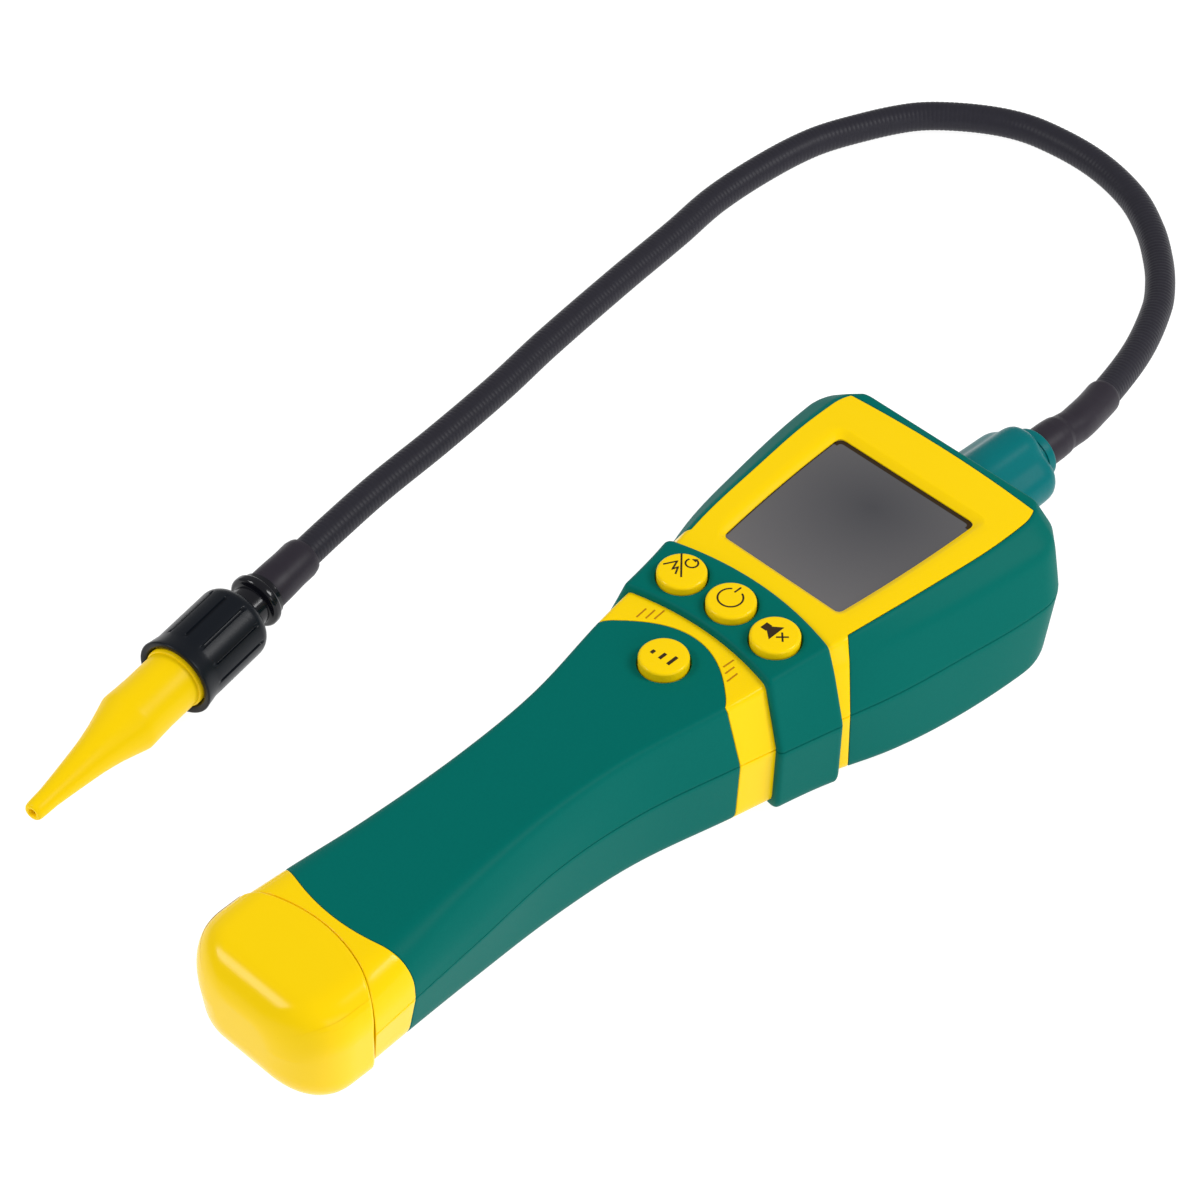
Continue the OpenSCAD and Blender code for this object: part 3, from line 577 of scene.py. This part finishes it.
def cap_half(y, depth, up, _groove):
    """The battery cap's half section, which has no parting line and so no groove."""
    s = rows_at(CAP_ROWS, y)
    side = rounding(y - CAP_END, CAP_SIDE_R)
    old_top = s[..., TOP_Z].copy()
    s[..., 1:TOP_Z] -= side[..., None]
    s[..., TOP_Z] -= rounding(y - CAP_END, CAP_TOP_R)
    s[..., BASE_Z] += rounding(y - CAP_END, CAP_BASE_R)
    s[..., DROP] *= (s[..., TOP_Z] - PARTING) / (old_top - PARTING)
    s[..., STEP:] *= (1 - side / (1.4 * CAP_SIDE_R))[..., None]
    return section(s, depth, up, groove=0)


def grid_faces(lines, columns, keep=None):
    """Faces of a grid, or the ones of them that keep(line, column) picks."""
    return [
        (j * columns + i, j * columns + i + 1, (j + 1) * columns + i + 1, (j + 1) * columns + i)
        for j in range(lines - 1)
        for i in range(columns - 1)
        if keep is None or keep(j, i)
    ]


DRAW_IN_Y = 88


def inner_place(edge, wall):
    """The edge of the inner face: it draws in towards the flat end of the head."""
    def place(x):
        y = edge(x)
        return y - np.clip((y - DRAW_IN_Y) / (HEAD_END - DRAW_IN_Y), 0, 1) ** 2 * wall
    return place


CASE_WALL, SKIN_WALL, BRIDGE_WALL = 2.9, 1.2, 0.05
CREASE = 32


def wrap(name, lines, up, material, wall, depths=None, keep=None, closed=False):
    """A shell over the case: its outer face follows the lines, its inner face is at depth wall.
    keep picks the faces, and closed adds a flat one over the last line."""
    outer = lay_out(lines, up, depths)
    inner = lay_out([(inner_place(edge, wall), wall) for edge, _depth in lines], up, groove=0)
    count, columns = outer.shape[:2]
    faces = grid_faces(count, columns, keep)
    if closed:
        faces.append(tuple(range((count - 1) * columns, count * columns)))
    if up:
        faces = [f[::-1] for f in faces]
    n = count * columns
    sides = {(a, b) for f in faces for a, b in zip(f, f[1:] + f[:1])}
    rims = [(a, b) for a, b in sides if (b, a) not in sides]
    faces += [tuple(v + n for v in f[::-1]) for f in faces]
    faces += [(b, a, a + n, b + n) for a, b in sorted(rims)]
    used = sorted({v for f in faces for v in f})
    index = {v: k for k, v in enumerate(used)}
    points = np.concatenate([outer.reshape(-1, 3), inner.reshape(-1, 3)])[used]
    obj = make_object(name, points, [[index[v] for v in f] for f in faces], material)
    finish_mesh(obj, CREASE)
    return obj


# The edges between the pieces, as y over x
def seam(x):
    return -107.5 - 0.0125 * x**2


def grip_far(x):
    return -105 + 0.0095 * x**2


def grip_near(x):
    return np.maximum(9.2 - 0.0287 * x**2, -1.9)


def bridge_near(x):
    return 12.3 - 0.0065 * x**2


def bridge_far(x):
    return 30.9 - 0.0061 * x**2


def head_near(x):
    return 34.5 - 0.93 * np.maximum(np.abs(x) - 24, 0)


def bezel_end(x):
    return 96.3 - 0.0016 * x**2


def at_y(y):
    return lambda x: np.full_like(x, y, dtype=float)


def shifted(edge, dy):
    return lambda x: edge(x) + dy


def across(a, b, places, depth=0.0):
    """Lines between two edges, at the given parts of the way."""
    return [((lambda x, t=t: blend(a(x), b(x), t)), depth) for t in places]


# How a skin's border is rounded: distance from the edge, depth
ROUND_EDGE = [(0.0, 0.32), (0.07, 0.1), (0.22, 0.02), (0.45, 0.0)]


def opening(edge):
    return [(shifted(edge, dy), depth) for dy, depth in ROUND_EDGE]


def closing(edge):
    return [(shifted(edge, -dy), depth) for dy, depth in ROUND_EDGE[::-1]]


# Half the gap between two pieces
GAP = 0.07


# ---------------------------------------------------------------- hard case
# Places of the head's lines between its two edges, closer together towards the bezel's far edge
HEAD_PLACES = 1 - (1 - np.linspace(0, 1, 36)[1:-1]) ** 1.7
# Centre and height of each key
BUTTONS = {
    "peak": (-14.8, 19.9, 41.8),
    "power": (0, 20.9, 41.8),
    "mute": (14.8, 19.9, 41.8),
    "level": (0, -1.5, 39.8),
}
BUTTON_R = 6.0
HOLE_R = 6.25
HOLE_MOUTH_R = 6.6
SCREWS = [(32.4, 86), (-32.4, 86), (27, 46), (-27, 46)]
SCREW_HOLE_R = 3.1


def button_cutters(names, surface_z):
    """Holes for the keys, with a small bevel where they meet the surface."""
    profile = [(HOLE_R, 28), (HOLE_R, surface_z - 0.45), (HOLE_MOUTH_R, surface_z), (HOLE_MOUTH_R, 46)]
    return [turned("hole", profile, Matrix.Translation((*BUTTONS[n][:2], 0)), BLACK) for n in names]


def screw_cutters():
    profile = [(SCREW_HOLE_R, -3), (SCREW_HOLE_R, 8)]
    return [turned("hole", profile, Matrix.Translation((x, y, 0)), BLACK, 48) for x, y in SCREWS]


def neck_cutter():
    """The hole for the probe's neck through the end of the head."""
    along = Matrix.Translation((0, 90, EXIT_Z)) @ Matrix.Rotation(-math.pi / 2, 4, "X")
    return turned("hole", [(7.1, 0), (7.1, 12)], along, BLACK, 48)


WINDOW_NEAR, WINDOW_FAR = (18.4, 37.8), (21.7, 82.6)


def window_outline(near, far, z):
    """Ring round the window, grown by near and far at its two ends, at height z."""
    a = np.array([WINDOW_NEAR[0] + near, WINDOW_NEAR[1] - near])
    b = np.array([WINDOW_FAR[0] + far, WINDOW_FAR[1] + far])
    bow = (a + b) / 2 + (0.7, 0)
    soft_a, soft_b = np.array(1.6 + near / 2), np.array(2.2 + far / 2)
    mirror = np.array([-1, 1])
    t = np.linspace(0, 1, 9)[:, None]
    corner_a = bezier(toward(a, a * mirror, soft_a), a, toward(a, bow, soft_a), t)
    corner_b = bezier(toward(b, bow, soft_b), b, toward(b, b * mirror, soft_b), t)
    side = bezier(corner_a[-1], bow + (0.35, 0), corner_b[0], np.linspace(0, 1, 14)[1:-1, None])
    right = np.concatenate([corner_a, side, corner_b])
    ring = np.concatenate([right, right[::-1] * mirror])
    return np.column_stack([ring, np.full(len(ring), z)])


def window_cutter():
    """The window's opening, which flares into a soft bevel on the bezel."""
    rings = [(0, 0, 33), (0, 0, 37.95), (0.1, 0.14, 38.02), (0.6, 0.8, 38.4), (1.05, 1.5, 38.76),
             (1.35, 2.0, 38.93), (1.8, 2.6, 39.12), (2.6, 3.4, 39.5)]
    obj = loft("hole", [window_outline(*r) for r in rings], BLACK)
    finish_mesh(obj)
    return obj


def case_lines():
    """Lines of the hard case from the cap's seam to the head, sunk where a soft skin covers it."""
    lines = opening(seam) + across(seam, grip_far, [0.2, 0.4, 0.6, 0.8]) + closing(grip_far)
    lines += across(grip_far, grip_near, np.linspace(0, 1, 34), SUNK)
    lines += opening(grip_near) + across(grip_near, bridge_near, [0.2, 0.4, 0.6, 0.8])
    lines += across(bridge_near, bridge_far, np.linspace(0, 1, 7))
    lines += across(bridge_far, head_near, [0.25, 0.5, 0.7])
    return lines


def case_depths(lines, head, count, bezel):
    """Depths of the head's lines: sunk under the skin, and at the surface on the bezel."""
    depths = np.zeros((len(lines) + len(head), count))
    for k, (_edge, sunk, rim) in enumerate(head):
        line = len(lines) + k
        depths[line] = sunk
        if bezel:
            fade = min(sunk / 0.32, 1)
            depths[line, LIP + 2:] = rim
            for column, depth in HEAD_CASE_DEPTH.items():
                depths[line, column] = max(depth * fade, rim)
    return depths


def make_case(up):
    lines = case_lines()
    head = [(shifted(head_near, -dy), depth, 0.0) for dy, depth in ROUND_EDGE[::-1]]
    bezel = across(head_near, shifted(bezel_end, -0.6), [0, *HEAD_PLACES])
    head += [(edge, SUNK, 0.0) for edge, _depth in bezel]
    head += [(shifted(bezel_end, -GAP - dy), SUNK, depth) for dy, depth in ROUND_EDGE[::-1]]
    head += [(shifted(bezel_end, -GAP), SUNK, SUNK)]
    count = len(UPPER if up else LOWER)
    depths = case_depths(lines, head, count, up)
    everything = lines + [(edge, 0.0) for edge, _s, _r in head]
    name = "front_case" if up else "rear_case"
    obj = wrap(name, everything, up, YELLOW, CASE_WALL, depths)
    if up:
        cut(obj, [window_cutter(), *button_cutters(BUTTONS, 43)])
    else:
        cut(obj, [neck_cutter(), *screw_cutters()])
    finish_mesh(obj, CREASE)
    put(obj, "case", ["front_shell" if up else "rear_shell"])


# ---------------------------------------------------------------- soft skins
def make_grip(up):
    far, near = shifted(grip_far, GAP), shifted(grip_near, -GAP)
    lines = opening(far) + across(far, near, np.linspace(0.015, 0.985, 60)) + closing(near)
    obj = wrap("front_grip_skin" if up else "rear_grip_skin", lines, up, TEAL, SKIN_WALL)
    if up:
        cut(obj, button_cutters(["level"], 37.45))
        finish_mesh(obj, CREASE)
    put(obj, "case", ["front_grip" if up else "rear_grip"])


NEAR_ROUND, FAR_ROUND = 1.5, 1.4
BORDER = (0.0, 0.1)


def make_bridge(up):
    rise = [BORDER] + [(NEAR_ROUND + x, RISE - NEAR_ROUND + y) for x, y in arc(0, 0, NEAR_ROUND, 180, 90)]
    fall = [(x - FAR_ROUND, RISE - FAR_ROUND + y) for x, y in arc(0, 0, FAR_ROUND, 90, 0)] + [BORDER]
    crown = across(bridge_near, bridge_far, np.linspace(0.1, 0.92, 14), -RISE)
    lines = [(shifted(bridge_near, dy), -lift) for dy, lift in rise]
    lines += crown + [(shifted(bridge_far, dy), -lift) for dy, lift in fall]
    obj = wrap("front_bridge_skin" if up else "rear_bridge_skin", lines, up, TEAL, BRIDGE_WALL)
    if up:
        cut(obj, button_cutters(["peak", "power", "mute"], 39.85))
        finish_mesh(obj, CREASE)
    else:
        for vertex in obj.data.vertices:
            vertex.co.z = max(vertex.co.z, 0)
    put(obj, "case", ["front_bridge" if up else "rear_bridge"])


def make_head_skin(up):
    near = shifted(head_near, GAP)
    lines = opening(near) + across(near, shifted(bezel_end, -0.4), HEAD_PLACES)
    first_rim = len(lines)
    lines += [(shifted(bezel_end, dy), 0.0) for dy, _depth in ROUND_EDGE[:3]]
    turns = [math.radians(a) for a in range(40, 91, 5)]
    lines += [(at_y(HEAD_END - END_BASE_R * (1 - math.sin(a))), 0.0) for a in turns]
    count = len(UPPER if up else LOWER)
    depths = np.zeros((len(lines), count))
    if up:
        for column, depth in HEAD_SKIN_DEPTH.items():
            depths[:first_rim, column] = depth
        for k, (_dy, depth) in enumerate(ROUND_EDGE[:3]):
            depths[first_rim + k, LIP:] = depth
    whole = 2 * count - 1

    def keep(j, i):
        """The skin covers the sides up to the bezel, and everything past its far edge."""
        return not up or j >= first_rim or i <= LIP or i >= whole - 2 - LIP

    name = "front_head_cover" if up else "rear_head_cover"
    obj = wrap(name, lines, up, TEAL, SKIN_WALL, depths, keep, closed=True)
    if not up:
        cut(obj, [neck_cutter(), *screw_cutters()])
        finish_mesh(obj, CREASE)
    put(obj, "case", ["front_head_skin" if up else "rear_head_skin"])


for up in (True, False):
    make_case(up)
    make_grip(up)
    make_bridge(up)
    make_head_skin(up)


# ---------------------------------------------------------------- battery cap
PLUG_END = -103.6
POCKET_FLOOR = -124
CAP_ROUND = 0.9


def whole_rings(lines, shape):
    """Closed rings, each from the two halves of a line."""
    upper = lay_out(lines, True, shape=shape)
    lower = lay_out(lines, False, shape=shape)
    return np.concatenate([upper, lower[:, -2:0:-1]], axis=1)


def pocket_ring(ring, y):
    """The cells' square pocket at y, with one point for each point of ring."""
    half, middle_z = np.array([12.0, 10.8]), 20.1
    way = ring[:, [0, 2]] - (0, middle_z)
    way = way / np.max(np.abs(way) / half, axis=1)[:, None]
    return np.column_stack([way[:, 0], np.full(len(ring), y), way[:, 1] + middle_z])


def make_cap():
    edge = shifted(seam, -GAP)
    plug = whole_rings([(at_y(PLUG_END), 3.6), (at_y(PLUG_END - 0.3), 3.3), (edge, 3.3)], case_half)
    rim = arc(0, 0, CAP_ROUND, 0, 90, 8)
    lines = [(shifted(edge, out - CAP_ROUND), CAP_ROUND - lift) for out, lift in rim]
    lines += across(shifted(seam, -1.2), at_y(CAP_END + 14.3), np.linspace(0.02, 0.98, 8))
    lines += [(at_y(CAP_END + 14.2 * (1 - u) ** 2.2), 0.0) for u in np.linspace(0, 1, 34)]
    pocket = [pocket_ring(plug[0], y) for y in (POCKET_FLOOR, PLUG_END)]
    cap = loft("battery_cap_cover", [*pocket, *plug, *whole_rings(lines, cap_half)], YELLOW)
    finish_mesh(cap, CREASE)
    put(cap, "cap", ["battery_cap"])


make_cap()


# ---------------------------------------------------------------- buttons and their marks
EDGE_R = 0.8
DOME = 0.1


def dome_drop(radius):
    """How far the top of a key has fallen at a radius."""
    return DOME * (radius / (BUTTON_R - EDGE_R)) ** 2


def make_button(name):
    x, y, top = BUTTONS[name]
    flange = 33.7 if name == "level" else 33.9
    rim = top - DOME
    profile = [(2.5, 30.4), (2.5, flange - 1.2), (6.7, flange - 1.2), (6.7, flange), (BUTTON_R, flange)]
    profile += arc(BUTTON_R - EDGE_R, rim - EDGE_R, EDGE_R, 0, 90, 8)[:-1]
    profile += [(r, top - dome_drop(r)) for r in np.linspace(BUTTON_R - EDGE_R, 0.3, 9)]
    button = turned("cap_" + name, profile, Matrix.Translation((x, y, 0)), YELLOW)
    put(button, name, ["button_" + name])


INK_LIFT = 0.035


def stroke(points, width, step=0.3):
    """The left and right sides of a strip along 2-D points, in steps so that it can follow a dome."""
    line = [np.array(points[0], float)]
    for a, b in zip(points[:-1], points[1:]):
        a, b = np.array(a, float), np.array(b, float)
        count = max(int(np.linalg.norm(b - a) / step), 1)
        line += [a + (b - a) * k / count for k in range(1, count + 1)]
    line = np.array(line)
    before = np.diff(line, axis=0)
    before /= np.linalg.norm(before, axis=1)[:, None]
    ways = np.concatenate([before[:1], before[:-1] + before[1:], before[-1:]])
    ways /= np.linalg.norm(ways, axis=1)[:, None]
    normals = np.column_stack([-ways[:, 1], ways[:, 0]])
    square = np.concatenate([before[:1], before])
    across_line = np.column_stack([-square[:, 1], square[:, 0]])
    reach = width / 2 / np.clip(np.abs(np.sum(normals * across_line, 1)), 0.6, 1)
    return line + normals * reach[:, None], line - normals * reach[:, None]


def ink(name, strokes, fills, height, body, material, width):
    """Printed strokes and filled shapes, laid just above the surface z = height(x, y)."""
    points, faces = [], []
    for line in strokes:
        left, right = stroke(line, width)
        base, n = len(points), len(left)
        points += [*left, *right]
        faces += [(base + n + k, base + n + k + 1, base + k + 1, base + k) for k in range(n - 1)]
    for shape in fills:
        base = len(points)
        points += [np.array(p, float) for p in shape]
        faces.append(tuple(range(base, base + len(shape))))
    spots = [(p[0], p[1], height(p[0], p[1]) + INK_LIFT) for p in points]
    obj = make_object(name, spots, faces, material)
    put(obj, body)


def make_icons():
    """The signs on the keys: strokes and filled shapes, about the centre of each key."""
    signs = {
        "peak": ([
            [(-4.5, -1.6), (-2.8, 1.4), (-1.8, -1.3), (-1.3, 0.1), (-0.15, -2.0)],
            [(-3.9, 4.0), (1.5, -1.8)],
            arc(0.1, 3.3, 1.5, -205, 85, 28),
        ], [[(-0.9, 4.3), (0.5, 4.1), (0.3, 5.3)]]),
        "power": ([arc(-0.5, 0.3, 3.0, 125, 430, 40), [(-1.0, 2.2), (-1.0, 4.5)]], []),
        "mute": ([[(0.9, -0.75), (3.0, 1.35)], [(0.9, 1.35), (3.0, -0.75)]],
                 [[(-3.85, -0.85), (-2.15, -0.85), (-2.15, 1.35), (-3.85, 1.35)],
                  [(-2.25, -0.5), (0.2, -2.4), (0.2, 2.9), (-2.25, 1.0)]]),
        "level": ([[(-2.6, -1.5), (-2.6, -0.3)], [(0, -1.5), (0, 0.7)], [(2.6, -1.5), (2.6, 1.7)]], []),
    }
    for name, (strokes, fills) in signs.items():
        cx, cy, top = BUTTONS[name]

        def move(line, cx=cx, cy=cy):
            return [(px + cx, py + cy) for px, py in line]

        def height(px, py, cx=cx, cy=cy, top=top):
            return top - dome_drop(math.hypot(px - cx, py - cy))

        width = 0.9 if name == "level" else 0.45
        lines, shapes = [move(line) for line in strokes], [move(fill) for fill in fills]
        ink("sign_" + name, lines, shapes, height, name, INK, width)


def make_strip_marks():
    """Two groups of three fine lines on the yellow strip."""
    groups = [
        [((-14.9, 8.1), (-14.6, 4.6)), ((-13.1, 9.2), (-12.8, 5.8)), ((-11.4, 10.6), (-11.2, 7.0))],
        [((11.0, 10.2), (10.8, 6.9)), ((12.6, 8.7), (12.5, 5.7)), ((14.5, 7.7), (14.5, 4.2))],
    ]
    lines = [list(line) for group in groups for line in group]
    ink("strip_marks", lines, [], lambda x, y: rows_at(CASE_ROWS, np.array(y))[TOP_Z], "case", MARK, 0.42)


WINDOW_TOP = 37.6
FAR_SHADE, LEFT_SHADE = 1.2, 0.3


def make_window_shade():
    """Shade inside the window's far and left edges, where its walls go on below the glass."""
    inside_far = window_outline(-FAR_SHADE / 2, -FAR_SHADE / 2, 0)
    inside_left = window_outline(-LEFT_SHADE / 2, -LEFT_SHADE / 2, 0)
    far = [p[:2] for p in inside_far if p[1] > WINDOW_FAR[1] - 3]
    left = [p[:2] for p in inside_left if p[0] < 0 and abs(p[1] - 60) < 21]
    ink("far_shade", [far], [], lambda x, y: WINDOW_TOP, "case", SHADE, FAR_SHADE)
    ink("left_shade", [left], [], lambda x, y: WINDOW_TOP, "case", SHADE, LEFT_SHADE)


for button in BUTTONS:
    make_button(button)
make_icons()
make_strip_marks()
make_window_shade()


# ---------------------------------------------------------------- probe boss and nut
BOSS_LEN = 29.8


def boss_radius(angle):
    """Four soft lobes, with valleys between them that are narrower than the lobes."""
    return 12.0 - 1.9 * (0.5 - 0.5 * math.cos(4 * angle)) ** 1.6


def boss_point(angle, along, scale, lift):
    radius = boss_radius(angle) * scale
    return (radius * math.cos(angle), HEAD_END + along, EXIT_Z + lift + radius * math.sin(angle))


def make_boss():
    """Rings of the boss: place along it, scale, and how far it is lifted."""
    root = [(-1.2, 1.25, 2.7), (0, 1.24, 2.6), (1.5, 1.17, 2.0), (3, 1.12, 1.5), (5, 1.08, 1.0)]
    body = [(8, 1.05, 0.6), (14, 1.025, 0.3), (20, 1.01, 0.1), (25, 1, 0), (26.6, 0.99, 0), (27.8, 0.965, 0)]
    end = [(28.6, 0.93, 0), (29.2, 0.885, 0), (29.6, 0.83, 0), (BOSS_LEN, 0.77, 0)]
    angles = np.linspace(0, 2 * np.pi, 120, endpoint=False)
    rings = [[boss_point(a, *row) for a in angles[::-1]] for row in root + body + end]
    boss = loft("soft_boss", rings, TEAL_GLOSS)
    finish_mesh(boss)
    put(boss, "case", ["probe_boss"])


def make_nut():
    y0 = HEAD_END + BOSS_LEN
    length = EXIT_Y - y0
    rim = [(4.1, 0), (6.7, 0), (6.9, 0.2), (6.9, 1.2), (6.65, 1.35), (6.65, 1.75), (7.0, 1.9)]
    side = [(7.0, length - 1.0)] + arc(6.3, length - 0.7, 0.7, 0, 90)
    profile = rim + side + [(5.2, length), (4.1, length)]
    along = Matrix.Translation((0, y0, EXIT_Z)) @ Matrix.Rotation(-math.pi / 2, 4, "X")
    put(lathe("boss_nut_ring", profile, along, TEAL_GLOSS), "case", ["boss_nut"])


make_boss()
make_nut()


# ---------------------------------------------------------------- floor, light, background
FLOOR_REACH, FLOOR_Z = 4.0, -0.00005
FLOOR_GLOW = 0.92


def make_floor():
    """A plain floor that glows, so that it's white with only a faint shadow."""
    data = bpy.data.meshes.new("floor")
    corners = [(x * FLOOR_REACH, y * FLOOR_REACH, FLOOR_Z) for x, y in ((-1, -1), (1, -1), (1, 1), (-1, 1))]
    data.from_pydata(corners, [], [(0, 1, 2, 3)])
    material = principled("floor", (0.3, 0.3, 0.3), 0.9, 0.0)
    shader = material.node_tree.nodes["Principled BSDF"]
    shader.inputs["Emission Color"].default_value = (1, 1, 1, 1)
    shader.inputs["Emission Strength"].default_value = FLOOR_GLOW
    data.materials.append(material)
    floor = bpy.data.objects.new("floor", data)
    bpy.context.scene.collection.objects.link(floor)


def soft_box(name, direction, distance, size, watts):
    """A rectangular light that points at the middle of the scene."""
    data = bpy.data.lights.new(name, "AREA")
    data.shape = "RECTANGLE"
    data.size, data.size_y = size
    data.energy = watts
    lamp = bpy.data.objects.new(name, data)
    way = Vector(direction).normalized()
    lamp.location = way * distance
    lamp.rotation_euler = way.to_track_quat("Z", "Y").to_euler()
    bpy.context.scene.collection.objects.link(lamp)


def make_world():
    """White as the camera sees it, and dimmer as a light."""
    world = bpy.data.worlds.new("studio")
    bpy.context.scene.world = world
    world.use_nodes = True
    tree = world.node_tree
    tree.nodes.clear()
    out = tree.nodes.new("ShaderNodeOutputWorld")
    seen = tree.nodes.new("ShaderNodeBackground")
    seen.inputs["Color"].default_value = (1, 1, 1, 1)
    lit = tree.nodes.new("ShaderNodeBackground")
    lit.inputs["Color"].default_value = (1, 1, 1, 1)
    lit.inputs["Strength"].default_value = 0.42
    path = tree.nodes.new("ShaderNodeLightPath")
    mix = tree.nodes.new("ShaderNodeMixShader")
    tree.links.new(path.outputs["Is Camera Ray"], mix.inputs["Fac"])
    tree.links.new(lit.outputs["Background"], mix.inputs[1])
    tree.links.new(seen.outputs["Background"], mix.inputs[2])
    tree.links.new(mix.outputs["Shader"], out.inputs["Surface"])


bpy.context.scene.view_settings.view_transform = "Standard"
make_floor()
soft_box("left_box", (-0.5, -0.54, 0.68), 1.3, (0.36, 0.36), 5.3)
soft_box("right_box", (0.54, 0.5, 0.68), 1.3, (0.36, 0.5), 8)
soft_box("side_box", (0.95, -0.1, 0.35), 1.4, (0.9, 0.6), 3.5)
make_world()
